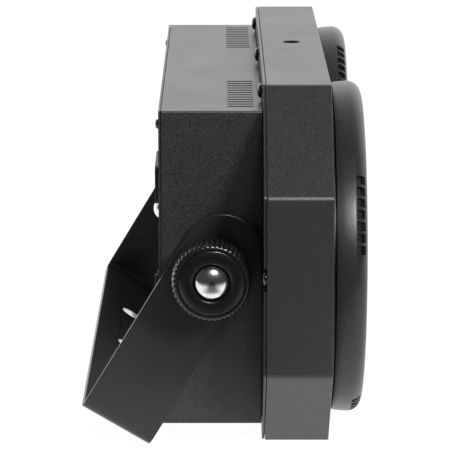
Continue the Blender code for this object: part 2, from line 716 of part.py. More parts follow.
def rear_panel():
    """The flat rear cover with its grilles and cut-outs."""
    outline = [(x, z + BOX_Z) for x, z in rounded(rectangle(BOX_WIDTH, BOX_HEIGHT), BOX_BEND)]
    piece = add_object(
        "rear_panel", prism_mesh("rear_panel", outline, PANEL_INNER_Y, PANEL_Y), POWDER_COAT)
    low = PANEL_INNER_Y - PANEL_THICKNESS
    high = PANEL_Y + PANEL_THICKNESS
    middle = (low + high) / 2
    depth = high - low
    tools = [box_mesh(
        "display_cut", (DISPLAY_WIDTH + 2 * GAP, depth, DISPLAY_HEIGHT + 2 * GAP),
        (0.0, middle, BOX_Z + DISPLAY_UP))]
    for index in range(BUTTON_COUNT):
        tools.append(cylinder_mesh(
            "button_cut", BUTTON_RADIUS + GAP, low, high, SMALL_SEGMENTS,
            place=(button_x(index), 0.0, BOX_Z + BUTTON_UP)))
    for sign in SIDES.values():
        tools.append(cylinder_mesh(
            "socket_cut", SOCKET_RADIUS + GAP, low, high, MEDIUM_SEGMENTS,
            place=(sign * SOCKET_OFFSET, 0.0, BOX_Z + SOCKET_UP)))
    tools.append(box_mesh(
        "inlet_cut", (INLET_BODY_WIDTH + 2 * GAP, depth, INLET_BODY_HEIGHT + 2 * GAP),
        (INLET_X, middle, BOX_Z + INLET_UP)))
    tools.append(cylinder_mesh(
        "fuse_cut", FUSE_RADIUS + GAP, low, high, SMALL_SEGMENTS,
        place=(FUSE_X, 0.0, BOX_Z + FUSE_UP)))
    for _, x, up in panel_screw_places():
        tools.append(cylinder_mesh(
            "screw_cut", PANEL_SCREW_RADIUS + HOLE_CLEARANCE, low, high, SCREW_SEGMENTS,
            place=(x, 0.0, BOX_Z + up)))
    tools.append(cylinder_mesh(
        "safety_cut", SAFETY_SHANK_RADIUS + GAP, low, high, SCREW_SEGMENTS,
        place=(-SAFETY_OFFSET, 0.0, BOX_Z + SAFETY_UP)))
    for sign in SIDES.values():
        for index in range(GRILLE_BARS):
            offset = (index - (GRILLE_BARS - 1) / 2) * GRILLE_PITCH
            half = math.sqrt(GRILLE_RADIUS ** 2 - offset ** 2)
            tools.append(box_mesh(
                "grille_cut", (2 * half, depth, GRILLE_SLOT),
                (sign * FAN_X, middle, AXIS_Z + offset)))
    cut_with(piece, merged_mesh("panel_cuts", tools))
    return piece


def ring_base(side, sign):
    """The neck on the tray's face, with the wider collar that the ring slides over."""
    seat = HOUSING_FRONT + GAP
    neck = seat + BASE_NECK_LENGTH
    collar_radius = RING_RADIUS - RING_WALL - HOLE_CLEARANCE
    top = reflector_seat() - GAP
    profile = [
        (BASE_COLLAR_INNER_RADIUS, top), (collar_radius, top), (collar_radius, neck),
        (BASE_NECK_RADIUS, neck), (BASE_NECK_RADIUS, seat), (BASE_COLLAR_INNER_RADIUS, seat),
    ]
    return turned(
        f"ring_base_{side}", profile, RING_PLASTIC, FACING_FRONT,
        (sign * LAMP_X, PLATE_Y, AXIS_Z), ring=True)


def lens_rear():
    """How far in front of the plate the back of a lens lies."""
    return RING_FRONT - RING_RETURN - GAP - LENS_THICKNESS


def reflector_seat():
    """How far in front of the plate the back of a reflector's flange lies."""
    return lens_rear() - GAP - REFLECTOR_WALL


def bezel_ring(side, sign):
    """The round moulded ring, thin-walled, with groups of windows near its front."""
    corner_radius = RING_RADIUS - RING_CORNER
    corner_height = RING_FRONT - RING_CORNER
    inner_corner = RING_CORNER - RING_WALL
    profile = [(RING_LIP_RADIUS, RING_FRONT - RING_RETURN), (RING_LIP_RADIUS, RING_FRONT)]
    profile += arc((corner_radius, corner_height), RING_CORNER, 90.0, 0.0, 3)
    profile += [(RING_RADIUS, RING_REAR_FRONT), (RING_RADIUS - RING_WALL, RING_REAR_FRONT)]
    profile += arc((corner_radius, corner_height), inner_corner, 0.0, 90.0, 2)
    return_radius = RING_LIP_RADIUS + RING_RETURN_WALL
    profile += [
        (return_radius, RING_FRONT - RING_WALL), (return_radius, RING_FRONT - RING_RETURN)]
    piece = turned(
        f"bezel_ring_{side}", profile, RING_PLASTIC, FACING_FRONT,
        (sign * LAMP_X, PLATE_Y, AXIS_Z), ring=True)
    windows = []
    reach = RING_CORNER + RING_WALL
    middle = Vector((0.0, PLATE_Y - RING_WINDOW_FRONT, AXIS_Z))
    for group in range(RING_WINDOW_GROUPS):
        group_turn = 360.0 * group / RING_WINDOW_GROUPS + RING_WINDOW_TURN_DEG[side]
        for index in range(RING_WINDOW_COUNT):
            step = (index - (RING_WINDOW_COUNT - 1) / 2) * RING_WINDOW_PITCH_DEG
            angle = math.radians(180.0 - group_turn - step)
            window = box_mesh(
                "window", (reach, RING_WINDOW_LENGTH, RING_WINDOW_WIDTH),
                (RING_RADIUS - RING_WALL, 0.0, 0.0))
            window.transform(
                Matrix.Translation(middle + Vector((sign * LAMP_X, 0.0, 0.0)))
                @ Matrix.Rotation(-angle, 4, "Y"))
            windows.append(window)
    cut_with(piece, merged_mesh(f"ring_windows_{side}", windows))
    return piece


def lens(side, sign):
    """The clear glass behind the ring's return wall."""
    rear = lens_rear()
    profile = [
        (0.0, rear + LENS_THICKNESS), (LENS_RADIUS, rear + LENS_THICKNESS),
        (LENS_RADIUS, rear), (0.0, rear)]
    return turned(
        f"lens_{side}", profile, CLEAR_GLASS, FACING_FRONT, (sign * LAMP_X, PLATE_Y, AXIS_Z))


def holder_front():
    """How far in front of the plate a light source's holder reaches."""
    return PEDESTAL_FRONT + GAP + LED_THICKNESS + GAP + HOLDER_THICKNESS


def reflector(side, sign):
    """The spun bowl, from its neck round the light source to its flange."""
    seat = reflector_seat()
    neck = holder_front() + GAP
    depth = seat - neck
    inner = []
    outer = []
    for step in range(REFLECTOR_STEPS + 1):
        share = step / REFLECTOR_STEPS
        radius = REFLECTOR_NECK_RADIUS + (
            REFLECTOR_MOUTH_RADIUS - REFLECTOR_NECK_RADIUS) * share ** REFLECTOR_CURVE
        inner.append((radius, neck + depth * share))
        outer.append((radius + REFLECTOR_WALL, neck + depth * share))
    profile = [(inner[-1][0], seat + REFLECTOR_WALL), (REFLECTOR_FLANGE_RADIUS, seat + REFLECTOR_WALL)]
    profile += [(REFLECTOR_FLANGE_RADIUS, seat)]
    profile += list(reversed(outer))
    profile += inner[:-1]
    return turned(
        f"reflector_{side}", profile, MIRROR, FACING_FRONT,
        (sign * LAMP_X, PLATE_Y, AXIS_Z), segments=MEDIUM_SEGMENTS + 8, ring=True)


def led_module(side, sign):
    """The square light source on the cooler's pedestal."""
    front = PLATE_Y - PEDESTAL_FRONT - GAP - LED_THICKNESS
    outline = [(x + sign * LAMP_X, z + AXIS_Z) for x, z in rectangle(LED_SIDE, LED_SIDE)]
    mesh = prism_mesh(f"led_module_{side}", outline, front, front + LED_THICKNESS)
    return add_object(f"led_module_{side}", mesh, PHOSPHOR)


def led_holder(side, sign):
    """The plastic ring that holds the light source down."""
    top = holder_front()
    low = top - HOLDER_THICKNESS
    profile = [
        (HOLDER_BORE_RADIUS, top), (HOLDER_RADIUS, top), (HOLDER_RADIUS, low),
        (HOLDER_BORE_RADIUS, low)]
    return turned(
        f"led_holder_{side}", profile, BLACK_PLASTIC, FACING_FRONT,
        (sign * LAMP_X, PLATE_Y, AXIS_Z), segments=MEDIUM_SEGMENTS, ring=True)


def cooler(side, sign):
    """The finned aluminium block, with a round pedestal through the rear plate."""
    base_front = PLATE_Y + GAP
    base_rear = base_front + COOLER_BASE
    fin_rear = PLATE_Y + COOLER_BACK
    pitch = (COOLER_WIDTH - FIN_THICKNESS) / (FIN_COUNT - 1)
    comb = [(-COOLER_WIDTH / 2, base_front), (COOLER_WIDTH / 2, base_front)]
    for index in reversed(range(FIN_COUNT)):
        x = (index - (FIN_COUNT - 1) / 2) * pitch
        if index < FIN_COUNT - 1:
            comb.append((x + FIN_THICKNESS / 2, base_rear))
        comb.append((x + FIN_THICKNESS / 2, fin_rear))
        comb.append((x - FIN_THICKNESS / 2, fin_rear))
        if index > 0:
            comb.append((x - FIN_THICKNESS / 2, base_rear))
    low = AXIS_Z - COOLER_HEIGHT / 2
    placed = [(x + sign * LAMP_X, y) for x, y in comb]
    piece = add_object(f"cooler_{side}", prism_mesh(
        f"cooler_{side}", placed, low, low + COOLER_HEIGHT, turn=UPRIGHT), ALUMINIUM)
    pedestal = cylinder_mesh(
        f"pedestal_{side}", PEDESTAL_RADIUS, PLATE_Y - PEDESTAL_FRONT, base_front + COOLER_BASE / 2,
        MEDIUM_SEGMENTS, place=(sign * LAMP_X, 0.0, AXIS_Z))
    join_with(piece, pedestal)
    return piece


def fan_frame(side, sign):
    """The square fan frame, with the spider that carries the rotor."""
    low = PLATE_Y + COOLER_BACK + GAP
    high = low + FAN_THICKNESS
    x = sign * FAN_X
    strut = FAN_SIDE - FAN_SPIDER_THICKNESS
    outline = [(x + px, AXIS_Z + pz) for px, pz in rounded(
        rectangle(FAN_SIDE, FAN_SIDE), FAN_STRUT_WIDTH)]
    piece = add_object(
        f"fan_frame_{side}", prism_mesh(f"fan_frame_{side}", outline, low, high), BLACK_PLASTIC)
    cut_with(piece, cylinder_mesh(
        f"fan_bore_{side}", FAN_BORE_RADIUS, low - FAN_THICKNESS, high + FAN_THICKNESS,
        MEDIUM_SEGMENTS, place=(x, 0.0, AXIS_Z)))
    spider_top = low + FAN_SPIDER_THICKNESS
    for name, size in (
            ("across", (strut, FAN_SPIDER_THICKNESS, FAN_STRUT_WIDTH)),
            ("upright", (FAN_STRUT_WIDTH, FAN_SPIDER_THICKNESS, strut))):
        join_with(piece, box_mesh(
            f"fan_strut_{name}_{side}", size, (x, (low + spider_top) / 2, AXIS_Z)))
    join_with(piece, cylinder_mesh(
        f"fan_hub_seat_{side}", FAN_HUB_RADIUS, low, spider_top, MEDIUM_SEGMENTS,
        place=(x, 0.0, AXIS_Z)))
    return piece


def fan_rotor(side, sign):
    """The fan's hub and blades, turning on the spider."""
    low = PLATE_Y + COOLER_BACK + GAP + FAN_SPIDER_THICKNESS + GAP
    high = low + FAN_ROTOR_DEPTH
    centre = (sign * FAN_X, (low + high) / 2, AXIS_Z)
    half = FAN_ROTOR_DEPTH / 2
    piece = add_object(
        f"fan_rotor_{side}", cylinder_mesh(
            f"fan_rotor_{side}", FAN_HUB_RADIUS, -half, half, MEDIUM_SEGMENTS), BLACK_PLASTIC)
    piece.location = centre
    span = FAN_BLADE_RADIUS - FAN_HUB_RADIUS / 2
    chord = FAN_ROTOR_DEPTH / math.cos(math.radians(FAN_BLADE_PITCH_DEG)) * 0.86
    blades = []
    for index in range(FAN_BLADE_COUNT):
        blade = box_mesh(
            "blade", (span, chord, FAN_BLADE_THICKNESS), (FAN_HUB_RADIUS / 2 + span / 2, 0.0, 0.0))
        pitch = Matrix.Rotation(math.radians(FAN_BLADE_PITCH_DEG), 4, "X")
        blade.transform(Matrix.Rotation(math.tau * index / FAN_BLADE_COUNT, 4, "Y") @ pitch)
        blades.append(blade)
    tool = add_object(
        f"fan_blades_{side}", merged_mesh(f"fan_blades_{side}", blades), cutter=True)
    tool.location = centre
    boolean(piece, tool, "UNION")
    return piece


def power_supply():
    """The enclosed supply on the rear plate, between the coolers."""
    low = PLATE_Y + GAP
    outline = [(x, z + AXIS_Z) for x, z in rectangle(SUPPLY_WIDTH, SUPPLY_HEIGHT)]
    mesh = prism_mesh("power_supply", outline, low, low + SUPPLY_DEPTH)
    return add_object("power_supply", mesh, ALUMINIUM)


def standoff_corners(width, height, centre_z):
    """Places of the four standoffs of a board."""
    inset = STANDOFF_INSET
    return rectangle(width - 2 * inset, height - 2 * inset, (0.0, centre_z))


def driver_board():
    """The lamp driver: a board with two coils, on standoffs over the supply."""
    seat = PLATE_Y + GAP + SUPPLY_DEPTH + GAP
    low = seat + DRIVER_STANDOFF
    centre_z = AXIS_Z + DRIVER_UP
    outline = rectangle(DRIVER_WIDTH, DRIVER_HEIGHT, (0.0, centre_z))
    mesh = prism_mesh("driver_board", outline, low, low + BOARD_THICKNESS)
    piece = add_object("driver_board", mesh, CIRCUIT_BOARD)
    legs = [cylinder_mesh(
        "leg", STANDOFF_RADIUS, seat, low + BOARD_THICKNESS / 2, SCREW_SEGMENTS, place=(x, 0.0, z))
        for x, z in standoff_corners(DRIVER_WIDTH, DRIVER_HEIGHT, centre_z)]
    join_with(piece, merged_mesh("driver_standoffs", legs))
    top = low + BOARD_THICKNESS
    coils = [cylinder_mesh(
        "coil", DRIVER_COIL_RADIUS, top - BOARD_THICKNESS / 2, top + DRIVER_COIL_HEIGHT,
        SMALL_SEGMENTS, place=(sign * DRIVER_WIDTH / 4, 0.0, centre_z)) for sign in SIDES.values()]
    join_with(piece, merged_mesh("driver_coils", coils))
    return piece


def control_board():
    """The board behind the display, hung from the panel, with a switch per button."""
    high = PANEL_INNER_Y - GAP - CONTROL_STANDOFF
    low = high - BOARD_THICKNESS
    centre_z = BOX_Z + CONTROL_UP
    outline = rectangle(CONTROL_WIDTH, CONTROL_HEIGHT, (0.0, centre_z))
    piece = add_object(
        "control_board", prism_mesh("control_board", outline, low, high), CIRCUIT_BOARD)
    legs = [cylinder_mesh(
        "leg", STANDOFF_RADIUS, low + BOARD_THICKNESS / 2, PANEL_INNER_Y - GAP, SCREW_SEGMENTS,
        place=(x, 0.0, z)) for x, z in standoff_corners(CONTROL_WIDTH, CONTROL_HEIGHT, centre_z)]
    join_with(piece, merged_mesh("control_standoffs", legs))
    switches = [box_mesh(
        "switch", (SWITCH_SIDE, SWITCH_HEIGHT + BOARD_THICKNESS / 2, SWITCH_SIDE),
        (button_x(index), high + (SWITCH_HEIGHT - BOARD_THICKNESS / 2) / 2, BOX_Z + BUTTON_UP))
        for index in range(BUTTON_COUNT)]
    join_with(piece, merged_mesh("menu_switches", switches))
    return piece


def display_window():
    """The stepped window of the display, held by its rim behind the panel."""
    centre = (0.0, BOX_Z + DISPLAY_UP)
    front = PANEL_Y + DISPLAY_PROUD
    rim_high = PANEL_INNER_Y - GAP
    rim_low = rim_high - DISPLAY_RIM_THICKNESS
    mesh = prism_mesh(
        "display_window", rectangle(DISPLAY_WIDTH, DISPLAY_HEIGHT, centre),
        (rim_low + rim_high) / 2, front)
    piece = add_object("display_window", mesh, DISPLAY_BLUE)
    rim = rectangle(DISPLAY_WIDTH + 2 * DISPLAY_RIM, DISPLAY_HEIGHT + 2 * DISPLAY_RIM, centre)
    join_with(piece, prism_mesh("display_rim", rim, rim_low, rim_high))
    return piece


def menu_button(index):
    """A round key, kept in by a rim behind the panel."""
    rim_high = PANEL_INNER_Y - GAP
    reach = PANEL_Y + BUTTON_PROUD - rim_high
    crown = BUTTON_RIM / 2
    stem_end = -BUTTON_RIM_THICKNESS
    profile = [
        (0.0, reach), (BUTTON_RADIUS - crown, reach), (BUTTON_RADIUS, reach - crown),
        (BUTTON_RADIUS, 0.0), (BUTTON_RADIUS + BUTTON_RIM, 0.0),
        (BUTTON_RADIUS + BUTTON_RIM, stem_end), (0.0, stem_end)]
    return turned(
        f"menu_button_{index + 1}", profile, BLACK_PLASTIC, FACING_BACK,
        (button_x(index), rim_high, BOX_Z + BUTTON_UP), segments=SMALL_SEGMENTS)


def socket_body(name, x):
    """A round socket's body and its rectangular flange."""
    up = BOX_Z + SOCKET_UP
    low = PANEL_Y + GAP
    outline = rounded(rectangle(SOCKET_WIDTH, SOCKET_HEIGHT, (x, up)), SOCKET_CORNER)
    piece = add_object(name, prism_mesh(name, outline, low, low + SOCKET_FLANGE), SOCKET_METAL)
    join_with(piece, cylinder_mesh(
        f"{name}_barrel", SOCKET_RADIUS, PANEL_Y - SOCKET_DEPTH, low + SOCKET_FLANGE / 2,
        MEDIUM_SEGMENTS, place=(x, 0.0, up)))
    return piece


def pin_places(x):
    """The three contacts of a data socket, one below and two above."""
    places = []
    for angle_deg in (30.0, 150.0, 270.0):
        angle = math.radians(angle_deg)
        up = BOX_Z + SOCKET_UP + PIN_CIRCLE * math.sin(angle)
        places.append((x + PIN_CIRCLE * math.cos(angle), up))
    return places


def data_in():
    """The data input: a round hollow with three pins."""
    x = -SOCKET_OFFSET
    piece = socket_body("data_in", x)
    face = PANEL_Y + GAP + SOCKET_FLANGE
    floor = face - SOCKET_CAVITY_DEPTH
    cut_with(piece, cylinder_mesh(
        "data_in_hollow", SOCKET_CAVITY_RADIUS, floor, face + SOCKET_FLANGE, MEDIUM_SEGMENTS,
        place=(x, 0.0, BOX_Z + SOCKET_UP)))
    pins = [cylinder_mesh(
        "pin", PIN_RADIUS, floor - PIN_RADIUS, floor + PIN_LENGTH, 12, place=(px, 0.0, pz))
        for px, pz in pin_places(x)]
    join_with(piece, merged_mesh("data_in_pins", pins))
    return piece


def data_out():
    """The data output: a groove round a core with three holes, and a slot for its latch."""
    x = SOCKET_OFFSET
    piece = socket_body("data_out", x)
    face = PANEL_Y + GAP + SOCKET_FLANGE
    profile = [
        (CORE_RADIUS, SOCKET_FLANGE), (SOCKET_CAVITY_RADIUS, SOCKET_FLANGE),
        (SOCKET_CAVITY_RADIUS, -SOCKET_CAVITY_DEPTH), (CORE_RADIUS, -SOCKET_CAVITY_DEPTH)]
    groove = turned_cutter(
        "data_out_groove", profile, FACING_BACK, (x, face, BOX_Z + SOCKET_UP))
    boolean(piece, groove)
    holes = [cylinder_mesh(
        "contact", CONTACT_RADIUS, face - CONTACT_DEPTH, face + SOCKET_FLANGE, 12,
        place=(px, 0.0, pz)) for px, pz in pin_places(x)]
    cut_with(piece, merged_mesh("data_out_contacts", holes))
    cut_with(piece, box_mesh(
        "latch_slot", (LATCH_WIDTH + 2 * GAP, 4 * SOCKET_FLANGE, LATCH_HEIGHT + 2 * GAP),
        (x, face + SOCKET_FLANGE / 2, BOX_Z + SOCKET_UP + LATCH_UP)))
    return piece


def data_latch():
    """The push tab that frees a plug from the data output."""
    front = PANEL_Y + GAP + SOCKET_FLANGE + LATCH_PROUD
    mesh = box_mesh("data_latch", (LATCH_WIDTH, LATCH_LENGTH, LATCH_HEIGHT), (0.0, 0.0, 0.0))
    piece = add_object("data_latch", mesh, ZINC_STEEL)
    piece.location = (SOCKET_OFFSET, front - LATCH_LENGTH / 2, BOX_Z + SOCKET_UP + LATCH_UP)
    return piece


def cut_cornered(width, height, cut, centre):
    """A rectangle whose two upper corners are cut off."""
    half_w = width / 2
    half_h = height / 2
    points = [
        (-half_w, -half_h), (half_w, -half_h), (half_w, half_h - cut), (half_w - cut, half_h),
        (cut - half_w, half_h), (-half_w, half_h - cut)]
    return [(centre[0] + x, centre[1] + z) for x, z in points]


def power_inlet():
    """The three-pin mains inlet with its flange."""
    centre = (INLET_X, BOX_Z + INLET_UP)
    low = PANEL_Y + GAP
    face = low + INLET_FLANGE
    floor = face - INLET_CAVITY_DEPTH
    flange = rounded(rectangle(INLET_WIDTH, INLET_HEIGHT, centre), SOCKET_CORNER)
    piece = add_object("power_inlet", prism_mesh("power_inlet", flange, low, face), BLACK_PLASTIC)
    join_with(piece, prism_mesh(
        "inlet_body", rectangle(INLET_BODY_WIDTH, INLET_BODY_HEIGHT, centre),
        PANEL_Y - INLET_DEPTH, low + INLET_FLANGE / 2))
    hollow = cut_cornered(INLET_CAVITY_WIDTH, INLET_CAVITY_HEIGHT, INLET_CAVITY_CUT, centre)
    cut_with(piece, prism_mesh("inlet_hollow", hollow, floor, face + INLET_FLANGE))
    low_pin = floor - INLET_PIN_WIDTH
    pins = []
    for across, up in (
            (-INLET_PIN_ACROSS, -INLET_PIN_RISE), (0.0, INLET_PIN_RISE),
            (INLET_PIN_ACROSS, -INLET_PIN_RISE)):
        pins.append(box_mesh(
            "inlet_pin", (INLET_PIN_WIDTH, INLET_PIN_LENGTH + INLET_PIN_WIDTH, INLET_PIN_HEIGHT),
            (centre[0] + across, (low_pin + floor + INLET_PIN_LENGTH) / 2, centre[1] + up)))
    join_with(piece, merged_mesh("inlet_pins", pins))
    return piece


def fuse_holder():
    """The fuse's tube, through the panel beside its left edge."""
    top = GAP + FUSE_FLANGE
    profile = [
        (0.0, top - FUSE_BORE_DEPTH), (FUSE_BORE_RADIUS, top - FUSE_BORE_DEPTH),
        (FUSE_BORE_RADIUS, top), (FUSE_FLANGE_RADIUS, top), (FUSE_FLANGE_RADIUS, GAP),
        (FUSE_RADIUS, GAP), (FUSE_RADIUS, -FUSE_DEPTH), (0.0, -FUSE_DEPTH)]
    return turned(
        "fuse_holder", profile, BLACK_PLASTIC, FACING_BACK, (FUSE_X, PANEL_Y, BOX_Z + FUSE_UP),
        segments=SMALL_SEGMENTS)


def fuse_cap():
    """The slotted cap that turns a quarter and pulls the fuse out."""
    seat = PANEL_Y + GAP + FUSE_FLANGE + GAP
    stem = FUSE_BORE_RADIUS - HOLE_CLEARANCE
    profile = [
        (0.0, FUSE_CAP_HEIGHT), (FUSE_CAP_RADIUS, FUSE_CAP_HEIGHT), (FUSE_CAP_RADIUS, 0.0),
        (stem, 0.0), (stem, -FUSE_STEM_LENGTH), (0.0, -FUSE_STEM_LENGTH)]
    piece = turned(
        "fuse_cap", profile, BLACK_PLASTIC, FACING_BACK, (FUSE_X, seat, BOX_Z + FUSE_UP),
        segments=SMALL_SEGMENTS)
    cut_with(piece, box_mesh(
        "fuse_cap_slot", (3 * FUSE_CAP_RADIUS, 2 * FUSE_SLOT_DEPTH, FUSE_SLOT_WIDTH),
        (FUSE_X, seat + FUSE_CAP_HEIGHT, BOX_Z + FUSE_UP)))
    return piece


def safety_bolt():
    """The domed bolt for the safety cable, held by a nut behind the panel."""
    nut_top = -PANEL_THICKNESS - GAP
    nut_low = nut_top - SAFETY_NUT_THICKNESS
    bottom = -SAFETY_LENGTH
    profile = [(0.0, GAP + SAFETY_HEAD_HEIGHT)]
    for share in (0.45, 0.80):
        height = SAFETY_HEAD_HEIGHT * math.sqrt(1.0 - share ** 2)
        profile.append((SAFETY_HEAD_RADIUS * share, GAP + height))
    profile += [
        (SAFETY_HEAD_RADIUS, GAP + SAFETY_HEAD_HEIGHT * 0.22), (SAFETY_HEAD_RADIUS, GAP),
        (SAFETY_SHANK_RADIUS, GAP), (SAFETY_SHANK_RADIUS, nut_top), (SAFETY_NUT_RADIUS, nut_top),
        (SAFETY_NUT_RADIUS, nut_low), (SAFETY_SHANK_RADIUS, nut_low), (SAFETY_SHANK_RADIUS, bottom),
        (0.0, bottom)]
    return turned(
        "safety_bolt", profile, CHROME, FACING_BACK, (-SAFETY_OFFSET, PANEL_Y, BOX_Z + SAFETY_UP),
        segments=SMALL_SEGMENTS)


def arm_inner_x():
    """How far from the middle an arm's inner face lies."""
    return BOX_WIDTH / 2 + GAP + FRICTION_WASHER_THICKNESS + GAP


def knob_seat_x():
    """How far from the middle a knob's hub starts."""
    return arm_inner_x() + YOKE_THICKNESS + GAP + KNOB_WASHER_THICKNESS + GAP


def yoke():
    """The bent strip, made about the pivot with its arms down, then leant back."""
    inner = arm_inner_x()
    outer = inner + YOKE_THICKNESS
    floor = -YOKE_REACH
    seat = floor + YOKE_THICKNESS
    top = YOKE_HEEL + YOKE_WIDTH
    outer_bend = YOKE_BEND + YOKE_THICKNESS
    right_outer = arc((outer - outer_bend, floor + outer_bend), outer_bend, -90.0, 0.0, 4)
    right_inner = arc((inner - YOKE_BEND, seat + YOKE_BEND), YOKE_BEND, 0.0, -90.0, 4)
    right = right_outer + [(outer, top), (inner, top)] + right_inner
    strip = right + [(-x, z) for x, z in reversed(right)]
    half = YOKE_WIDTH / 2
    piece = add_object("yoke", prism_mesh("yoke", strip, -half, half), SATIN_BLACK)
    piece.location = PIVOT
    piece.rotation_euler = (TILT, 0.0, 0.0)
    end = [(half, floor - half), (half, YOKE_HEEL)]
    end += arc((0.0, YOKE_HEEL), half, 0.0, 180.0, 18)[1:-1]
    end += [(-half, YOKE_HEEL), (-half, floor - half)]
    shape = add_object("yoke_outline", prism_mesh(
        "yoke_outline", end, -2 * outer, 2 * outer, turn=FACING_SIDE), cutter=True)
    holes = [cylinder_mesh(
        "bolt_hole", YOKE_HOLE_RADIUS, floor - YOKE_THICKNESS, seat + YOKE_THICKNESS,
        MEDIUM_SEGMENTS, turn=UPRIGHT, place=(x, 0.0, 0.0))
        for x in (-YOKE_HOLE_OFFSET, 0.0, YOKE_HOLE_OFFSET)]
    holes.append(cylinder_mesh(
        "pivot_hole", STUD_RADIUS + HOLE_CLEARANCE, -2 * outer, 2 * outer, SMALL_SEGMENTS,
        turn=Matrix.Rotation(math.radians(90.0), 4, "Y")))
    drill = add_object("yoke_holes", merged_mesh("yoke_holes", holes), cutter=True)
    for tool in (shape, drill):
        tool.matrix_world = Matrix.Translation(PIVOT) @ Matrix.Rotation(TILT, 4, "X")
    boolean(piece, shape, "INTERSECT")
    boolean(piece, drill)
    return piece


def facing_side(sign):
    """The turn that points local Z out of one side of the box."""
    return Matrix.Rotation(sign * math.radians(90.0), 4, "Y")


def pivot_ring(name, sign, start, thickness, radius, material):
    """A flat washer or a boss round the pivot, from start outwards."""
    bore = STUD_RADIUS + HOLE_CLEARANCE
    profile = [(bore, start + thickness), (radius, start + thickness), (radius, start), (bore, start)]
    return turned(
        name, profile, material, facing_side(sign), PIVOT, segments=MEDIUM_SEGMENTS, ring=True)


def knob(side, sign):
    """The ridged hand knob, moulded round its threaded stud."""
    seat = knob_seat_x()
    body_low = seat + KNOB_HUB_LENGTH
    body_high = body_low + KNOB_LENGTH
    bm = bmesh.new()
    bmesh.ops.create_cone(
        bm, cap_ends=True, segments=2 * KNOB_RIDGES, radius1=KNOB_RADIUS, radius2=KNOB_RADIUS,
        depth=KNOB_LENGTH, matrix=Matrix.Translation((0.0, 0.0, body_low + KNOB_LENGTH / 2)))
    for vert in bm.verts:
        ridge = math.atan2(vert.co.y, vert.co.x) / math.tau * 2 * KNOB_RIDGES
        if round(ridge) % 2:
            hollow = 1.0 - KNOB_RIDGE_DEPTH / KNOB_RADIUS
            vert.co = (vert.co.x * hollow, vert.co.y * hollow, vert.co.z)
    top = [face for face in bm.faces if face.normal.z > 0.9]
    rim = bmesh.ops.extrude_face_region(bm, geom=top)
    moved = [item for item in rim["geom"] if isinstance(item, bmesh.types.BMVert)]
    bmesh.ops.translate(bm, verts=moved, vec=(0.0, 0.0, KNOB_RIM / 2))
    narrowed = 1.0 - KNOB_RIM / KNOB_RADIUS
    bmesh.ops.scale(bm, verts=moved, vec=(narrowed, narrowed, 1.0))
    bmesh.ops.delete(bm, geom=top, context="FACES_ONLY")
    piece = add_object(f"knob_{side}", mesh_from(bm, f"knob_{side}"), KNOB_PLASTIC)
    face_height = body_high + KNOB_RIM / 2
    half_groove = KNOB_GROOVE_WIDTH / 2
    groove_profile = [
        (KNOB_GROOVE_RADIUS - half_groove, face_height + KNOB_RIM),
        (KNOB_GROOVE_RADIUS + half_groove, face_height + KNOB_RIM),
        (KNOB_GROOVE_RADIUS + half_groove, face_height - KNOB_GROOVE_DEPTH),
        (KNOB_GROOVE_RADIUS - half_groove, face_height - KNOB_GROOVE_DEPTH)]
    groove = turned_cutter(f"knob_groove_{side}", groove_profile, UPRIGHT, (0, 0, 0))
    recess = add_object(f"cap_recess_{side}", cylinder_mesh(
        f"cap_recess_{side}", CAP_RADIUS + CAP_RECESS_MARGIN, face_height - CAP_RECESS_DEPTH,
        face_height + KNOB_RIM, MEDIUM_SEGMENTS, turn=UPRIGHT), cutter=True)
    hub = add_object(f"knob_hub_{side}", cylinder_mesh(
        f"knob_hub_{side}", KNOB_HUB_RADIUS, seat, body_low + KNOB_RIM, MEDIUM_SEGMENTS,
        turn=UPRIGHT), cutter=True)
    stud_low = BOSS_START + BOSS_CLEARANCE
    stud = add_object(f"knob_stud_{side}", cylinder_mesh(
        f"knob_stud_{side}", STUD_RADIUS, stud_low, seat + KNOB_RIM, SMALL_SEGMENTS,
        turn=UPRIGHT), cutter=True)
    place = Matrix.Translation(PIVOT) @ facing_side(sign)
    for item in (piece, groove, recess, hub, stud):
        item.matrix_world = place
    boolean(piece, groove)
    boolean(piece, recess)
    boolean(piece, hub, "UNION")
    boolean(piece, stud, "UNION")
    return piece


def knob_cap(side, sign):
    """The polished dome pressed into the knob's face."""
    seat = knob_seat_x() + KNOB_HUB_LENGTH + KNOB_LENGTH + KNOB_RIM / 2 - CAP_RECESS_DEPTH + GAP
    profile = []
    steps = 5
    for step in range(steps):
        share = step / steps
        profile.append((
            CAP_RADIUS * math.sin(share * math.pi / 2), seat + CAP_DOME * math.cos(share * math.pi / 2)))
    profile += [(CAP_RADIUS, seat + CAP_DOME * 0.12), (CAP_RADIUS, seat), (0.0, seat)]
    return turned(
        f"knob_cap_{side}", profile, CHROME, facing_side(sign), PIVOT, segments=MEDIUM_SEGMENTS)


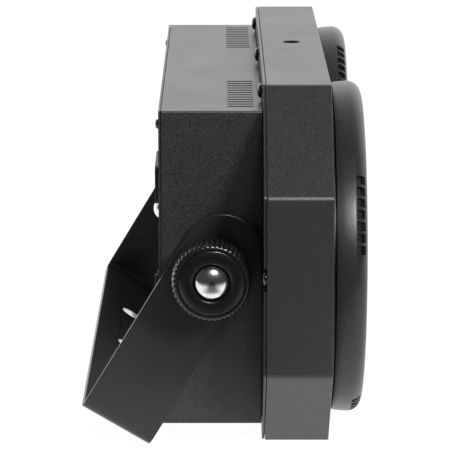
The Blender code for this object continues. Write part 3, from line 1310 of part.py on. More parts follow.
front_housing()
rear_plate()
frame_screws()
rear_housing()
rear_panel()
power_supply()
driver_board()
control_board()
display_window()
for button_index in range(BUTTON_COUNT):
    menu_button(button_index)
data_in()
data_out()
data_latch()
power_inlet()
panel_screws()
fuse_holder()
fuse_cap()
safety_bolt()
yoke()
for side_name, side_sign in SIDES.items():
    ring_base(side_name, side_sign)
    bezel_ring(side_name, side_sign)
    lens(side_name, side_sign)
    reflector(side_name, side_sign)
    led_module(side_name, side_sign)
    led_holder(side_name, side_sign)
    cooler(side_name, side_sign)
    fan_frame(side_name, side_sign)
    fan_rotor(side_name, side_sign)
    pivot_ring(
        f"friction_washer_{side_name}", side_sign, BOX_WIDTH / 2 + GAP, FRICTION_WASHER_THICKNESS,
        FRICTION_WASHER_RADIUS, RUBBER)
    pivot_ring(
        f"knob_washer_{side_name}", side_sign, arm_inner_x() + YOKE_THICKNESS + GAP,
        KNOB_WASHER_THICKNESS, KNOB_WASHER_RADIUS, ZINC_STEEL)
    pivot_ring(
        f"pivot_boss_{side_name}", side_sign, BOSS_START, BOSS_LENGTH, BOSS_RADIUS, ZINC_STEEL)
    knob(side_name, side_sign)
    knob_cap(side_name, side_sign)
for part in PARTS.objects:
    if len(part.data.polygons) > 0:
        smooth(part)
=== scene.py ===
"""The looks of a two-lamp audience blinder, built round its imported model.

Lengths are metres.  The lamps face -Y, the long side lies along X and +Z is up.
The sections follow the object as it is put together, from the lamp housing to
the hand knobs of its yoke.
"""
import json
import math

import bmesh
import bpy
from mathutils import Matrix, Vector


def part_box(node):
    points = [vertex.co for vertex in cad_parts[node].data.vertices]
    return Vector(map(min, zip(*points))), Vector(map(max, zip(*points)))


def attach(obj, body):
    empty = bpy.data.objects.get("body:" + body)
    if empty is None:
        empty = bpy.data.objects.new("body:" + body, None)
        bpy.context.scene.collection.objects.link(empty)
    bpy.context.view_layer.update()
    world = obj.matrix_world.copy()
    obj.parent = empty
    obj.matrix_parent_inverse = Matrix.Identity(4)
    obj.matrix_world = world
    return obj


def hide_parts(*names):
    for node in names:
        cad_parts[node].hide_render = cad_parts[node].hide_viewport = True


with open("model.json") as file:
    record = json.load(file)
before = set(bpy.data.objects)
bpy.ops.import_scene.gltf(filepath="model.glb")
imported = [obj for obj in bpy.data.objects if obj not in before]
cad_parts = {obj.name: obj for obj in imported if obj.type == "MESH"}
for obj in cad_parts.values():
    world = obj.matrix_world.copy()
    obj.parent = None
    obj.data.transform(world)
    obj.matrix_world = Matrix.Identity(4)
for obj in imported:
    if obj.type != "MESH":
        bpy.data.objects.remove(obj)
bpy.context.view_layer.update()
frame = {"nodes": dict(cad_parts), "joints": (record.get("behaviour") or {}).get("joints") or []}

# Camera
# It looks at the left end of the object from slightly above, along +X, with a
# long lens about 1.6 m away.
CAMERA_PLACE = (-1.63188, 0.00173, 0.46979)
CAMERA_YAW_DEG = -0.134
CAMERA_PITCH_DEG = 12.948
CAMERA_ROLL_DEG = 0.012
CAMERA_LENS_MM = 207.48

yaw = math.radians(CAMERA_YAW_DEG)
pitch = math.radians(CAMERA_PITCH_DEG)
roll = math.radians(CAMERA_ROLL_DEG)
view_line = Vector((
    math.cos(pitch) * math.cos(yaw), math.cos(pitch) * math.sin(yaw), -math.sin(pitch)))
level_right = view_line.cross(Vector((0.0, 0.0, 1.0))).normalized()
level_up = level_right.cross(view_line)
right = level_right * math.cos(roll) + level_up * math.sin(roll)
up = level_up * math.cos(roll) - level_right * math.sin(roll)

camera_data = bpy.data.cameras.new("photo_camera")
camera_data.lens = CAMERA_LENS_MM
camera_data.sensor_width = 36.0
camera_data.clip_start = 0.05
camera = bpy.data.objects.new("photo_camera", camera_data)
bpy.context.scene.collection.objects.link(camera)
camera.matrix_world = Matrix.Translation(CAMERA_PLACE) @ Matrix(
    (right, up, -view_line)).transposed().to_4x4()
bpy.context.scene.camera = camera
bpy.context.scene.view_settings.view_transform = "Standard"

# Studio
# A white sweep behind and under the object, soft boxes overhead and front left,
# and a small one by the camera that shows in gloss only. What is mirrored is a
# dark room, and a floor with a grey band of painted shadow where the camera
# stand would shade it.
AMBIENT = 0.07
ROOM_GLOSS = 0.05
SWEEP_GLOSS = 1.45
CEILING_GLOSS = 0.30
SWEEP_SPAN = (-0.30, 0.40)
CEILING_SPAN = (0.50, 0.95)
FLOOR_SIZE = 14.0
FLOOR_WHITE = 0.78
FLOOR_GLOW = 0.84
FLOOR_GLOW_STRENGTH = 1.16
TABLE_WHITE = 1.28
TABLE_FRONT = -0.33
TABLE_END = -0.62
# Painted shadow of the camera stand on the floor as mirrored: a grey band of this half width,
# fading out at its sides and at its end by the object.
STAND_SHADOW_HALF = 0.07
STAND_SHADOW_GREY = 0.14
STAND_SHADOW_FADE_FROM = 0.4
STAND_SHADOW_FADE_TO = 1.6
STAND_SHADOW_END_FADE = 0.08
# Each box: name, place, aim, side, watts, lights matt faces, shows in gloss
SOFT_BOXES = (
    ("front_left_box", (-1.9, -1.30, 1.25), (-0.1, 0.0, 0.1), 0.5, 57.0, True, False),
    ("camera_box", (-1.9, -0.38, 1.37), (-0.1, 0.0, 0.1), 0.36, 38.0, False, True),
    ("overhead_box", (0.1, 0.1, 2.2), (0.0, 0.0, 0.1), 1.8, 30.0, True, False))


def feed(links, value, socket):
    """Gives a socket a number or another node's output."""
    if isinstance(value, float):
        socket.default_value = value
    else:
        links.new(value, socket)


def maths(nodes, links, operation, *values):
    """What a maths node makes of numbers and outputs."""
    node = nodes.new("ShaderNodeMath")
    node.operation = operation
    for value, socket in zip(values, node.inputs):
        feed(links, value, socket)
    return node.outputs[0]


def mapped(nodes, links, value, start, end, low=0.0, high=1.0, curve="SMOOTHSTEP"):
    """A value between start and end, spread from low to high."""
    node = nodes.new("ShaderNodeMapRange")
    node.interpolation_type = curve
    sockets = ("Value", "From Min", "From Max", "To Min", "To Max")
    for socket, given in zip(sockets, (value, start, end, low, high)):
        feed(links, given, node.inputs[socket])
    return node.outputs["Result"]


def mixed(nodes, links, factor, first, second):
    """A number between two numbers or outputs."""
    node = nodes.new("ShaderNodeMix")
    for socket, value in (("Factor", factor), ("A", first), ("B", second)):
        feed(links, value, node.inputs[socket])
    return node.outputs["Result"]


def ray_kinds(nodes, links):
    """One for rays from the eye, and one for rays off a polish or through glass."""
    path = nodes.new("ShaderNodeLightPath")
    return path.outputs["Is Camera Ray"], maths(
        nodes, links, "MAXIMUM", path.outputs["Is Glossy Ray"],
        path.outputs["Is Transmission Ray"])


world = bpy.data.worlds.new("white_studio")
world.use_nodes = True
bpy.context.scene.world = world
nodes, links = world.node_tree.nodes, world.node_tree.links
backdrop = nodes["Background"]
backdrop.inputs["Color"].default_value = (1.0, 1.0, 1.0, 1.0)
eye, mirrored = ray_kinds(nodes, links)
direction = nodes.new("ShaderNodeTexCoord")
split = nodes.new("ShaderNodeSeparateXYZ")
links.new(direction.outputs["Generated"], split.inputs[0])
sweep = mapped(nodes, links, split.outputs["X"], *SWEEP_SPAN, ROOM_GLOSS, SWEEP_GLOSS)
ceiling = mapped(nodes, links, split.outputs["Z"], *CEILING_SPAN, 1.0, CEILING_GLOSS)
for_gloss = mixed(
    nodes, links, mirrored, AMBIENT, maths(nodes, links, "MULTIPLY", sweep, ceiling))
links.new(mixed(nodes, links, eye, for_gloss, 1.0), backdrop.inputs["Strength"])

floor_paint = bpy.data.materials.new("white_floor")
floor_paint.use_nodes = True
nodes, links = floor_paint.node_tree.nodes, floor_paint.node_tree.links
nodes.remove(nodes["Principled BSDF"])
matt = nodes.new("ShaderNodeBsdfDiffuse")
matt.inputs["Color"].default_value = (FLOOR_WHITE, FLOOR_WHITE, FLOOR_WHITE, 1.0)
eye, mirrored = ray_kinds(nodes, links)
place = nodes.new("ShaderNodeTexCoord")
reach = nodes.new("ShaderNodeSeparateXYZ")
links.new(place.outputs["Object"], reach.inputs[0])
table = mapped(
    nodes, links, reach.outputs["X"], TABLE_END, TABLE_FRONT, ROOM_GLOSS, TABLE_WHITE)
aside = maths(nodes, links, "ABSOLUTE", reach.outputs["Y"])
# Painted shadow of the camera stand, seen only in reflections: a grey band along the floor's
# middle, from the table's front edge towards the camera.
stand_shadow = mapped(
    nodes, links, aside, STAND_SHADOW_HALF * STAND_SHADOW_FADE_FROM, STAND_SHADOW_HALF * STAND_SHADOW_FADE_TO, STAND_SHADOW_GREY)
under = mapped(nodes, links, reach.outputs["X"], TABLE_FRONT, TABLE_FRONT + STAND_SHADOW_END_FADE)
clear_of_stand_shadow = maths(nodes, links, "MAXIMUM", stand_shadow, under)
tabletop = maths(nodes, links, "MULTIPLY", table, clear_of_stand_shadow)
glow = nodes.new("ShaderNodeEmission")
links.new(
    mixed(nodes, links, mirrored, FLOOR_GLOW_STRENGTH, tabletop), glow.inputs["Strength"])
share = maths(nodes, links, "MULTIPLY", eye, FLOOR_GLOW)
blend = nodes.new("ShaderNodeMixShader")
links.new(maths(nodes, links, "MAXIMUM", share, mirrored), blend.inputs[0])
links.new(matt.outputs[0], blend.inputs[1])
links.new(glow.outputs[0], blend.inputs[2])
links.new(blend.outputs[0], nodes["Material Output"].inputs["Surface"])

floor_mesh = bpy.data.meshes.new("studio_floor")
bm = bmesh.new()
bmesh.ops.create_grid(bm, x_segments=1, y_segments=1, size=FLOOR_SIZE / 2)
bm.to_mesh(floor_mesh)
bm.free()
floor_mesh.materials.append(floor_paint)
floor = bpy.data.objects.new("studio_floor", floor_mesh)
bpy.context.scene.collection.objects.link(floor)

for name, place, aim, side, power, lights_matt, in_gloss in SOFT_BOXES:
    data = bpy.data.lights.new(name, "AREA")
    data.shape = "SQUARE"
    data.size = side
    data.energy = power
    light = bpy.data.objects.new(name, data)
    bpy.context.scene.collection.objects.link(light)
    light.location = place
    light.visible_diffuse = lights_matt
    light.visible_glossy = in_gloss
    light.rotation_mode = "QUATERNION"
    light.rotation_quaternion = (Vector(aim) - Vector(place)).to_track_quat("-Z", "Y")


# Front housing
# One steel sheet, 1.5 mm, folded into an eight-sided tray with a lip round its
# back and round openings for the lamps, and coated with fine black powder.
HOUSING_CORNER_CUT = 0.0550
HOUSING_SHEET = 0.0015
HOUSING_BEND = 0.0007
HOUSING_CREASE = 0.0017
HOUSING_LIP = 0.0140
HOUSING_OPENING_RADIUS = 0.0860
RIG_HOLE_RADIUS = 0.0055
RIG_HOLE_FRONT = 0.0205
EDGE_EASE = 0.00030
POWDER_DARK = (0.007, 0.007, 0.0072)
POWDER_LIGHT = (0.043, 0.043, 0.0437)
MERGE = 0.00001

plate_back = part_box("rear_plate")[1].y
housing_low, housing_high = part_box("front_housing")
axis_z = (housing_low.z + housing_high.z) / 2
lens_low, lens_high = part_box("lens_right")
lamp_x = (lens_low.x + lens_high.x) / 2
LAMP_SIDES = {"left": -1.0, "right": 1.0}


def new_group(name, numbers, outputs):
    """An empty shader node group with number inputs and the outputs named."""
    group = bpy.data.node_groups.new(name, "ShaderNodeTree")
    for socket, value in numbers.items():
        made = group.interface.new_socket(socket, in_out="INPUT", socket_type="NodeSocketFloat")
        made.default_value = value
    for socket in outputs:
        group.interface.new_socket(socket, in_out="OUTPUT", socket_type="NodeSocketFloat")
    return group, group.nodes.new("NodeGroupInput"), group.nodes.new("NodeGroupOutput")


def make_grain_group():
    """Fine specks, slow patches and a height, all read from Object coordinates."""
    group, given, result = new_group(
        "coat_grain", {"Grain": 1200.0, "Patch": 25.0, "Stretch": 1.0},
        ("Speck", "Patch", "Height"))
    nodes, links = group.nodes, group.links
    place = nodes.new("ShaderNodeTexCoord")
    squeeze = nodes.new("ShaderNodeCombineXYZ")
    squeeze.inputs["Y"].default_value = 1.0
    squeeze.inputs["Z"].default_value = 1.0
    links.new(given.outputs["Stretch"], squeeze.inputs["X"])
    scaled = nodes.new("ShaderNodeVectorMath")
    scaled.operation = "MULTIPLY"
    links.new(place.outputs["Object"], scaled.inputs[0])
    links.new(squeeze.outputs[0], scaled.inputs[1])
    fine = nodes.new("ShaderNodeTexNoise")
    fine.inputs["Detail"].default_value = 2.0
    fine.inputs["Roughness"].default_value = 0.65
    links.new(scaled.outputs[0], fine.inputs["Vector"])
    links.new(given.outputs["Grain"], fine.inputs["Scale"])
    speck = mapped(nodes, links, fine.outputs["Fac"], 0.35, 0.68, curve="LINEAR")
    slow = nodes.new("ShaderNodeTexNoise")
    slow.inputs["Detail"].default_value = 4.0
    links.new(place.outputs["Object"], slow.inputs["Vector"])
    links.new(given.outputs["Patch"], slow.inputs["Scale"])
    patch = mapped(nodes, links, slow.outputs["Fac"], 0.30, 0.70, curve="LINEAR")
    links.new(speck, result.inputs["Speck"])
    links.new(patch, result.inputs["Patch"])
    links.new(fine.outputs["Fac"], result.inputs["Height"])
    return group


GRAIN = make_grain_group()


def colour_mix(nodes, links, factor, low, high):
    """A colour between low and high; either may be another node's output."""
    mix = nodes.new("ShaderNodeMix")
    mix.data_type = "RGBA"
    links.new(factor, mix.inputs["Factor"])
    for socket, colour in (("A", low), ("B", high)):
        target = [item for item in mix.inputs if item.name == socket and item.type == "RGBA"][0]
        if isinstance(colour, tuple):
            target.default_value = (*colour, 1.0)
        else:
            links.new(colour, target)
    return [item for item in mix.outputs if item.type == "RGBA"][0]


def grained(name, dark, light, grain, roughness, bump, metallic=0.0, specular=0.5, stretch=1.0,
            patch=25.0):
    """A finish with fine grain: specks of colour, patches of gloss and a bump."""
    material = bpy.data.materials.new(name)
    material.use_nodes = True
    nodes, links = material.node_tree.nodes, material.node_tree.links
    shader = nodes["Principled BSDF"]
    shader.inputs["Metallic"].default_value = metallic
    shader.inputs["Specular IOR Level"].default_value = specular
    texture = nodes.new("ShaderNodeGroup")
    texture.node_tree = GRAIN
    texture.inputs["Grain"].default_value = grain
    texture.inputs["Patch"].default_value = patch
    texture.inputs["Stretch"].default_value = stretch
    colour = colour_mix(nodes, links, texture.outputs["Speck"], dark, light)
    links.new(colour, shader.inputs["Base Color"])
    links.new(
        mapped(nodes, links, texture.outputs["Patch"], 0.0, 1.0, *roughness, curve="LINEAR"),
        shader.inputs["Roughness"])
    relief = nodes.new("ShaderNodeBump")
    relief.name = "relief"
    relief.inputs["Strength"].default_value = bump
    relief.inputs["Distance"].default_value = 0.0002
    links.new(texture.outputs["Height"], relief.inputs["Height"])
    links.new(relief.outputs["Normal"], shader.inputs["Normal"])
    return material


def new_piece(name, bm, material):
    """A smooth-shaded object at the origin from a finished bmesh."""
    mesh = bpy.data.meshes.new(name)
    bm.to_mesh(mesh)
    bm.free()
    mesh.shade_smooth()
    mesh.materials.append(material)
    piece = bpy.data.objects.new(name, mesh)
    bpy.context.scene.collection.objects.link(piece)
    return piece


def ease_edges(piece, width, segments=2, angle_deg=40.0):
    """Rounds a piece's edges and keeps its flat faces flat."""
    bevel = piece.modifiers.new("eased_edges", "BEVEL")
    bevel.width = width
    bevel.segments = segments
    bevel.limit_method = "ANGLE"
    bevel.angle_limit = math.radians(angle_deg)
    flat = piece.modifiers.new("flat_faces", "WEIGHTED_NORMAL")
    flat.keep_sharp = True


def give_sheet(piece, thickness):
    """Gives a folded surface the thickness of its sheet, inwards."""
    wall = piece.modifiers.new("sheet", "SOLIDIFY")
    wall.thickness = thickness
    wall.offset = -1.0
    wall.use_even_offset = True


def solid_box(low, high):
    """A bmesh box between two corners."""
    bm = bmesh.new()
    size = Vector(high) - Vector(low)
    middle = (Vector(high) + Vector(low)) / 2
    bmesh.ops.create_cube(
        bm, size=1.0, matrix=Matrix.Translation(middle) @ Matrix.Diagonal((*size, 1.0)))
    return bm


def edges_along(bm, axis):
    """The edges that run along one axis."""
    found = []
    for edge in bm.edges:
        line = (edge.verts[1].co - edge.verts[0].co).normalized()
        if abs(line[axis]) > 0.999:
            found.append(edge)
    return found


def round_over(bm, edges, offset, segments):
    """Bends the sheet at these edges."""
    bmesh.ops.bevel(
        bm, geom=edges, offset=offset, offset_type="OFFSET", segments=segments, profile=0.5,
        affect="EDGES", clamp_overlap=True, material=-1)


def face_towards(bm, direction):
    """The largest face that looks in a direction."""
    looking = [face for face in bm.faces if face.normal.dot(Vector(direction)) > 0.999]
    return max(looking, key=lambda face: face.calc_area())


def cut_loop(bm, place, width, height, radius, corner_steps=5):
    """The edge of a rounded cut-out: a circle whose quarters are moved apart."""
    steps = 4 * corner_steps
    half_step = Matrix.Rotation(math.pi / steps, 4, "Z")
    ring = bmesh.ops.create_circle(
        bm, cap_ends=False, radius=radius, segments=steps, matrix=half_step)["verts"]
    for vert in ring:
        vert.co.x += math.copysign(width / 2 - radius, vert.co.x)
        vert.co.y += math.copysign(height / 2 - radius, vert.co.y)
    bmesh.ops.transform(bm, matrix=place, verts=ring)
    return list({edge for vert in ring for edge in vert.link_edges})


def open_face(bm, face, loops):
    """Replaces a face by one with the cut-outs whose edges are given."""
    rim = list(face.edges)
    toward = face.normal.copy()
    bmesh.ops.delete(bm, geom=[face], context="FACES_ONLY")
    filled = bmesh.ops.triangle_fill(
        bm, use_beauty=True, use_dissolve=False, edges=rim + loops, normal=toward)
    for item in filled["geom"]:
        if isinstance(item, bmesh.types.BMFace) and item.normal.dot(toward) < 0.0:
            item.normal_flip()


powder_coat = grained(
    "fine_black_powder_coat", POWDER_DARK, POWDER_LIGHT, grain=1500.0, roughness=(0.35, 0.39),
    bump=0.50, specular=0.50)

bm = solid_box(housing_low, housing_high)
round_over(bm, edges_along(bm, 1), HOUSING_CORNER_CUT, 1)
round_over(bm, edges_along(bm, 1), HOUSING_CREASE, 4)
front_face = face_towards(bm, (0, -1, 0))
rear_face = face_towards(bm, (0, 1, 0))
round_over(bm, list(front_face.edges) + list(rear_face.edges), HOUSING_BEND, 3)
rear_face = face_towards(bm, (0, 1, 0))
bmesh.ops.inset_region(
    bm, faces=[rear_face], thickness=HOUSING_LIP - HOUSING_BEND, use_even_offset=True)
bmesh.ops.delete(bm, geom=[rear_face], context="FACES_ONLY")
lamp_openings = []
for side, sign in LAMP_SIDES.items():
    place = Matrix.Translation((sign * lamp_x, housing_low.y, axis_z)) @ Matrix.Rotation(
        math.pi / 2, 4, "X")
    lamp_openings += cut_loop(
        bm, place, 2 * HOUSING_OPENING_RADIUS, 2 * HOUSING_OPENING_RADIUS,
        HOUSING_OPENING_RADIUS, 32)
open_face(bm, face_towards(bm, (0, -1, 0)), lamp_openings)
for height, toward in ((housing_high.z, 1), (housing_low.z, -1)):
    rig_hole = cut_loop(
        bm, Matrix.Translation((0.0, plate_back - RIG_HOLE_FRONT, height)),
        2 * RIG_HOLE_RADIUS, 2 * RIG_HOLE_RADIUS, RIG_HOLE_RADIUS, 8)
    open_face(bm, face_towards(bm, (0, 0, toward)), rig_hole)
lamp_tray = new_piece("lamp_tray", bm, powder_coat)
give_sheet(lamp_tray, HOUSING_SHEET)
ease_edges(lamp_tray, EDGE_EASE, angle_deg=60.0)
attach(lamp_tray, "lamp_head")
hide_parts("front_housing")


# Rear plate
# A flat eight-sided sheet, 1.5 mm, a little narrower than the tray, screwed to
# its lip with a thin dark seam; a notch at each end lets a screw reach the lip.
NOTCH_SIZE = 0.0140
NOTCH_START = 0.2007
PLATE_EASE = 0.00012
plate_low, plate_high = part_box("rear_plate")
side_low, side_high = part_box("frame_screw_side_left")
notch_z = (side_low.z + side_high.z) / 2

bm = solid_box(plate_low, plate_high)
round_over(bm, edges_along(bm, 1), HOUSING_CORNER_CUT, 1)
round_over(bm, edges_along(bm, 1), HOUSING_CREASE, 3)
keep = face_towards(bm, (0, 1, 0))
bmesh.ops.delete(
    bm, geom=[face for face in bm.faces if face is not keep], context="FACES")
cuts = [((across, 0, 0), (1, 0, 0)) for across in (-NOTCH_START, NOTCH_START)]
cuts += [((0, 0, notch_z + rise), (0, 0, 1)) for rise in (-NOTCH_SIZE / 2, NOTCH_SIZE / 2)]
for cut_place, cut_normal in cuts:
    bmesh.ops.bisect_plane(
        bm, geom=bm.verts[:] + bm.edges[:] + bm.faces[:], plane_co=cut_place,
        plane_no=cut_normal)
notches = []
for face in bm.faces:
    middle = face.calc_center_median()
    if abs(middle.x) > NOTCH_START and abs(middle.z - notch_z) < NOTCH_SIZE / 2:
        notches.append(face)
bmesh.ops.delete(bm, geom=notches, context="FACES")
rear_sheet = new_piece("rear_sheet", bm, powder_coat)
give_sheet(rear_sheet, plate_high.y - plate_low.y)
ease_edges(rear_sheet, PLATE_EASE, angle_deg=60.0)
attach(rear_sheet, "lamp_head")
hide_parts("rear_plate")


# Screws of the rear plate and the rear panel
# Blackened steel pan heads with a hexagon socket: eight hold the rear plate to
# the tray's lip, and four hold the rear panel to the lip of the box.
SOCKET_SHARE = 0.40
SOCKET_FLOOR = 0.35
SCREW_STEPS = 48
SCREW_SEAT_GAP = 0.0003
FRAME_SCREW_SHANK = 0.0019
PANEL_SCREW_SHANK = 0.0015
PAN_CURVE = ((1.0, 0.32), (0.985, 0.48), (0.93, 0.64), (0.82, 0.78), (0.66, 0.90), (0.50, 0.965))
FACING_BACK = Matrix.Rotation(-math.pi / 2, 4, "X")
FACING_FRONT = Matrix.Rotation(math.pi / 2, 4, "X")


def extrude_rim(bm, edges):
    """Extrudes a run of edges and gives the new verts and the new edges."""
    grown = bmesh.ops.extrude_edge_only(bm, edges=edges)["geom"]
    verts = [item for item in grown if isinstance(item, bmesh.types.BMVert)]
    return verts, [item for item in grown if isinstance(item, bmesh.types.BMEdge)
                   and all(vert in verts for vert in item.verts)]


def draw_out(bm, rings, steps, wave_at):
    """Rings drawn out one after another, each (radius, height, wave), with closed ends."""
    verts = bmesh.ops.create_circle(bm, cap_ends=False, radius=1.0, segments=steps)["verts"]
    edges = list({edge for vert in verts for edge in vert.link_edges})
    ends = []
    for index, (radius, height, wave) in enumerate(rings):
        if index:
            verts, edges = extrude_rim(bm, edges)
        for vert in verts:
            angle = math.atan2(vert.co.y, vert.co.x)
            reach = radius - wave * wave_at(angle)
            vert.co = (reach * math.cos(angle), reach * math.sin(angle), height)
        if index in (0, len(rings) - 1):
            ends.append(list(edges))
    for loop in ends:
        bmesh.ops.edgeloop_fill(bm, edges=loop)
    bmesh.ops.recalc_face_normals(bm, faces=bm.faces)


def hexagon(angle):
    """How far, of its corner radius, a hexagon lies inside its circle."""
    from_flat = (angle % (math.pi / 3)) - math.pi / 6
    return 1.0 - math.cos(math.pi / 6) / math.cos(from_flat)


blackened_steel = grained(
    "blackened_screw_steel", (0.08, 0.08, 0.083), (0.17, 0.17, 0.175), grain=2400.0,
    roughness=(0.17, 0.26), bump=0.10, metallic=1.0)


def pan_screw(node, seat, shank_radius):
    """A pan-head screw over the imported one, its head on the seat plane."""
    low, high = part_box(node)
    radius = (high.x - low.x) / 2
    head = high.y - seat
    rings = [(shank_radius, low.y - seat, 0.0), (shank_radius, 0.0, 0.0), (radius, 0.0, 0.0)]
    rings += [(radius * share, head * level, 0.0) for share, level in PAN_CURVE]
    corner = radius * SOCKET_SHARE
    rings += [(corner * 1.06, head, 0.0), (corner, head * 0.97, corner),
              (corner, head * SOCKET_FLOOR, corner), (corner * 0.4, head * 0.28, 0.0)]
    bm = bmesh.new()
    draw_out(bm, rings, SCREW_STEPS, hexagon)
    place = Matrix.Translation(((low.x + high.x) / 2, seat, (low.z + high.z) / 2))
    bmesh.ops.transform(bm, matrix=place @ FACING_BACK, verts=bm.verts)
    screw = new_piece(node + "_head", bm, blackened_steel)
    screw.data.set_sharp_from_angle(angle=math.radians(40.0))
    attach(screw, "lamp_head")
    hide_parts(node)


for node in sorted(frame["nodes"]):
    if node.startswith("frame_screw"):
        seat = plate_back if "side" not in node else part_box("front_housing")[1].y
        pan_screw(node, seat + SCREW_SEAT_GAP, FRAME_SCREW_SHANK)
    elif node.startswith("panel_screw"):
        pan_screw(node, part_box("rear_panel")[1].y + SCREW_SEAT_GAP, PANEL_SCREW_SHANK)


# Lamp bases
# A moulded collar that the ring slides over, on a narrower neck that leaves a
# dark groove at the tray; its thin lip closes the ring's windows from inside.
BASE_INNER_RADIUS = 0.0900
BASE_COLLAR_RADIUS = 0.0965
BASE_NECK_RADIUS = 0.0935
BASE_NECK = 0.0017
LIP_CENTRE_RADIUS = 0.0914
LIP_BACK = 0.0080
LIP_OUTER = 0.0054
LIP_INNER = 0.0046
LIP_STEPS = 8
LIP_SWEEP_DEG = 78.0
BASE_EASE = 0.0004
LATHE_STEPS = 180


def turn(points, place, steps=LATHE_STEPS, closed=True):
    """Turns a profile of (radius, height) points about its place's Z."""
    bm = bmesh.new()
    verts = [bm.verts.new((radius, 0.0, height)) for radius, height in points]
    loop = list(zip(verts, verts[1:] + verts[:1]))
    if not closed or points[0][0] == points[-1][0] == 0.0:
        loop = loop[:-1]
    edges = [bm.edges.new(pair) for pair in loop]
    bmesh.ops.spin(
        bm, geom=verts + edges, cent=(0, 0, 0), axis=(0, 0, 1), dvec=(0, 0, 0), angle=math.tau,
        steps=steps, use_merge=True, use_duplicate=False)
    bmesh.ops.remove_doubles(bm, verts=bm.verts, dist=MERGE)
    bmesh.ops.recalc_face_normals(bm, faces=bm.faces)
    bmesh.ops.transform(bm, matrix=place, verts=bm.verts)
    return bm


ring_plastic = grained(
    "black_ring_moulding", (0.009, 0.009, 0.0093), (0.025, 0.025, 0.0257), grain=1300.0,
    roughness=(0.31, 0.39), bump=0.30, specular=0.45)

for side, sign in LAMP_SIDES.items():
    node = f"ring_base_{side}"
    low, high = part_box(node)
    seat = plate_back - high.y
    top = plate_back - low.y
    bend = plate_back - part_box(f"bezel_ring_{side}")[0].y - LIP_BACK
    profile = [(BASE_INNER_RADIUS, top), (LIP_CENTRE_RADIUS + LIP_INNER, top)]
    lip_sweep = [math.radians(LIP_SWEEP_DEG * step / LIP_STEPS) for step in range(LIP_STEPS + 1)]
    for reach, turns in ((LIP_INNER, lip_sweep), (LIP_OUTER, reversed(lip_sweep))):
        profile += [
            (LIP_CENTRE_RADIUS + reach * math.cos(angle), bend + reach * math.sin(angle))
            for angle in turns]
    profile += [
        (LIP_CENTRE_RADIUS + LIP_OUTER, top), (BASE_COLLAR_RADIUS, top - BASE_EASE),
        (BASE_COLLAR_RADIUS, seat + BASE_NECK), (BASE_NECK_RADIUS, seat + BASE_NECK),
        (BASE_NECK_RADIUS, seat), (BASE_INNER_RADIUS, seat)]
    place = Matrix.Translation((sign * lamp_x, plate_back, axis_z)) @ FACING_FRONT
    base = new_piece(f"lamp_base_{side}", turn(profile, place), ring_plastic)
    ease_edges(base, BASE_EASE, 3)
    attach(base, "lamp_head")
    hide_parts(node)


# Lamp rings
# Moulded black rings with a rounded shoulder, pierced by four groups of seven
# small windows, that clip over the bases and hold the glass.
RING_RADIUS = 0.0994
RING_CORNER = 0.0080
RING_WALL = 0.0022
RING_LIP_RADIUS = 0.0875
RING_RETURN = 0.0049
RING_BARREL = ((0.0011, 0.0), (0.0006, 0.0025), (0.0002, 0.0055))
RING_LATHE_STEPS = 360
RING_EASE = 0.00025
WINDOW_LOW_DEG = 11.5
WINDOW_HIGH_DEG = 55.6
SHOULDER_END_DEG = [67.0, 78.5, 90.0]
WINDOW_PARTS = 4
WINDOW_COUNT = 7
WINDOW_PITCH = 4
WINDOW_STEPS = 3
WINDOW_GROUPS = 4
WINDOW_TURN = {"left": 23.7, "right": 56.0}


def ring_profile(front, rear):
    """The outer skin from the ring's rear edge to its inner lip."""
    middle = (RING_RADIUS - RING_CORNER, front - RING_CORNER)
    points = [(RING_RADIUS - inset, rear + rise) for inset, rise in RING_BARREL]
    points.append((RING_RADIUS, middle[1]))
    angles = [WINDOW_LOW_DEG + (WINDOW_HIGH_DEG - WINDOW_LOW_DEG) * part / WINDOW_PARTS
              for part in range(WINDOW_PARTS + 1)] + SHOULDER_END_DEG
    for angle in angles:
        points.append((
            middle[0] + RING_CORNER * math.cos(math.radians(angle)),
            middle[1] + RING_CORNER * math.sin(math.radians(angle))))
    points += [(RING_LIP_RADIUS, front), (RING_LIP_RADIUS, front - RING_RETURN)]
    return points


for side, sign in LAMP_SIDES.items():
    node = f"bezel_ring_{side}"
    low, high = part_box(node)
    front = plate_back - low.y
    rear = plate_back - high.y
    bm = turn(ring_profile(front, rear), Matrix.Identity(4), RING_LATHE_STEPS, closed=False)
    shoulder = front - RING_CORNER
    window_low = shoulder + RING_CORNER * math.sin(math.radians(WINDOW_LOW_DEG))
    window_high = shoulder + RING_CORNER * math.sin(math.radians(WINDOW_HIGH_DEG))
    window_span = WINDOW_COUNT * WINDOW_PITCH
    panes = []
    for face in bm.faces:
        middle = face.calc_center_median()
        off_centre = math.hypot(middle.x, middle.y)
        if not window_low < middle.z < window_high or off_centre < RING_LIP_RADIUS:
            continue
        angle = math.degrees(math.atan2(middle.y, middle.x)) % 360.0
        in_group = angle % (360.0 / WINDOW_GROUPS)
        if in_group < window_span and in_group % WINDOW_PITCH < WINDOW_STEPS:
            panes.append(face)
    bmesh.ops.delete(bm, geom=panes, context="FACES")
    if face_towards(bm, (0, 0, 1)).calc_center_median().z < shoulder:
        bmesh.ops.reverse_faces(bm, faces=bm.faces)
    first_window = -(window_span - 1) / 2
    spin = Matrix.Rotation(math.radians(180.0 + first_window - WINDOW_TURN[side]), 4, "Z")
    place = Matrix.Translation((sign * lamp_x, plate_back, axis_z)) @ FACING_FRONT @ spin
    bmesh.ops.transform(bm, matrix=place, verts=bm.verts)
    ring = new_piece(f"lamp_ring_{side}", bm, ring_plastic)
    give_sheet(ring, RING_WALL)
    ease_edges(ring, RING_EASE, 2, 50.0)
    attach(ring, "lamp_head")
    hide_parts(node)


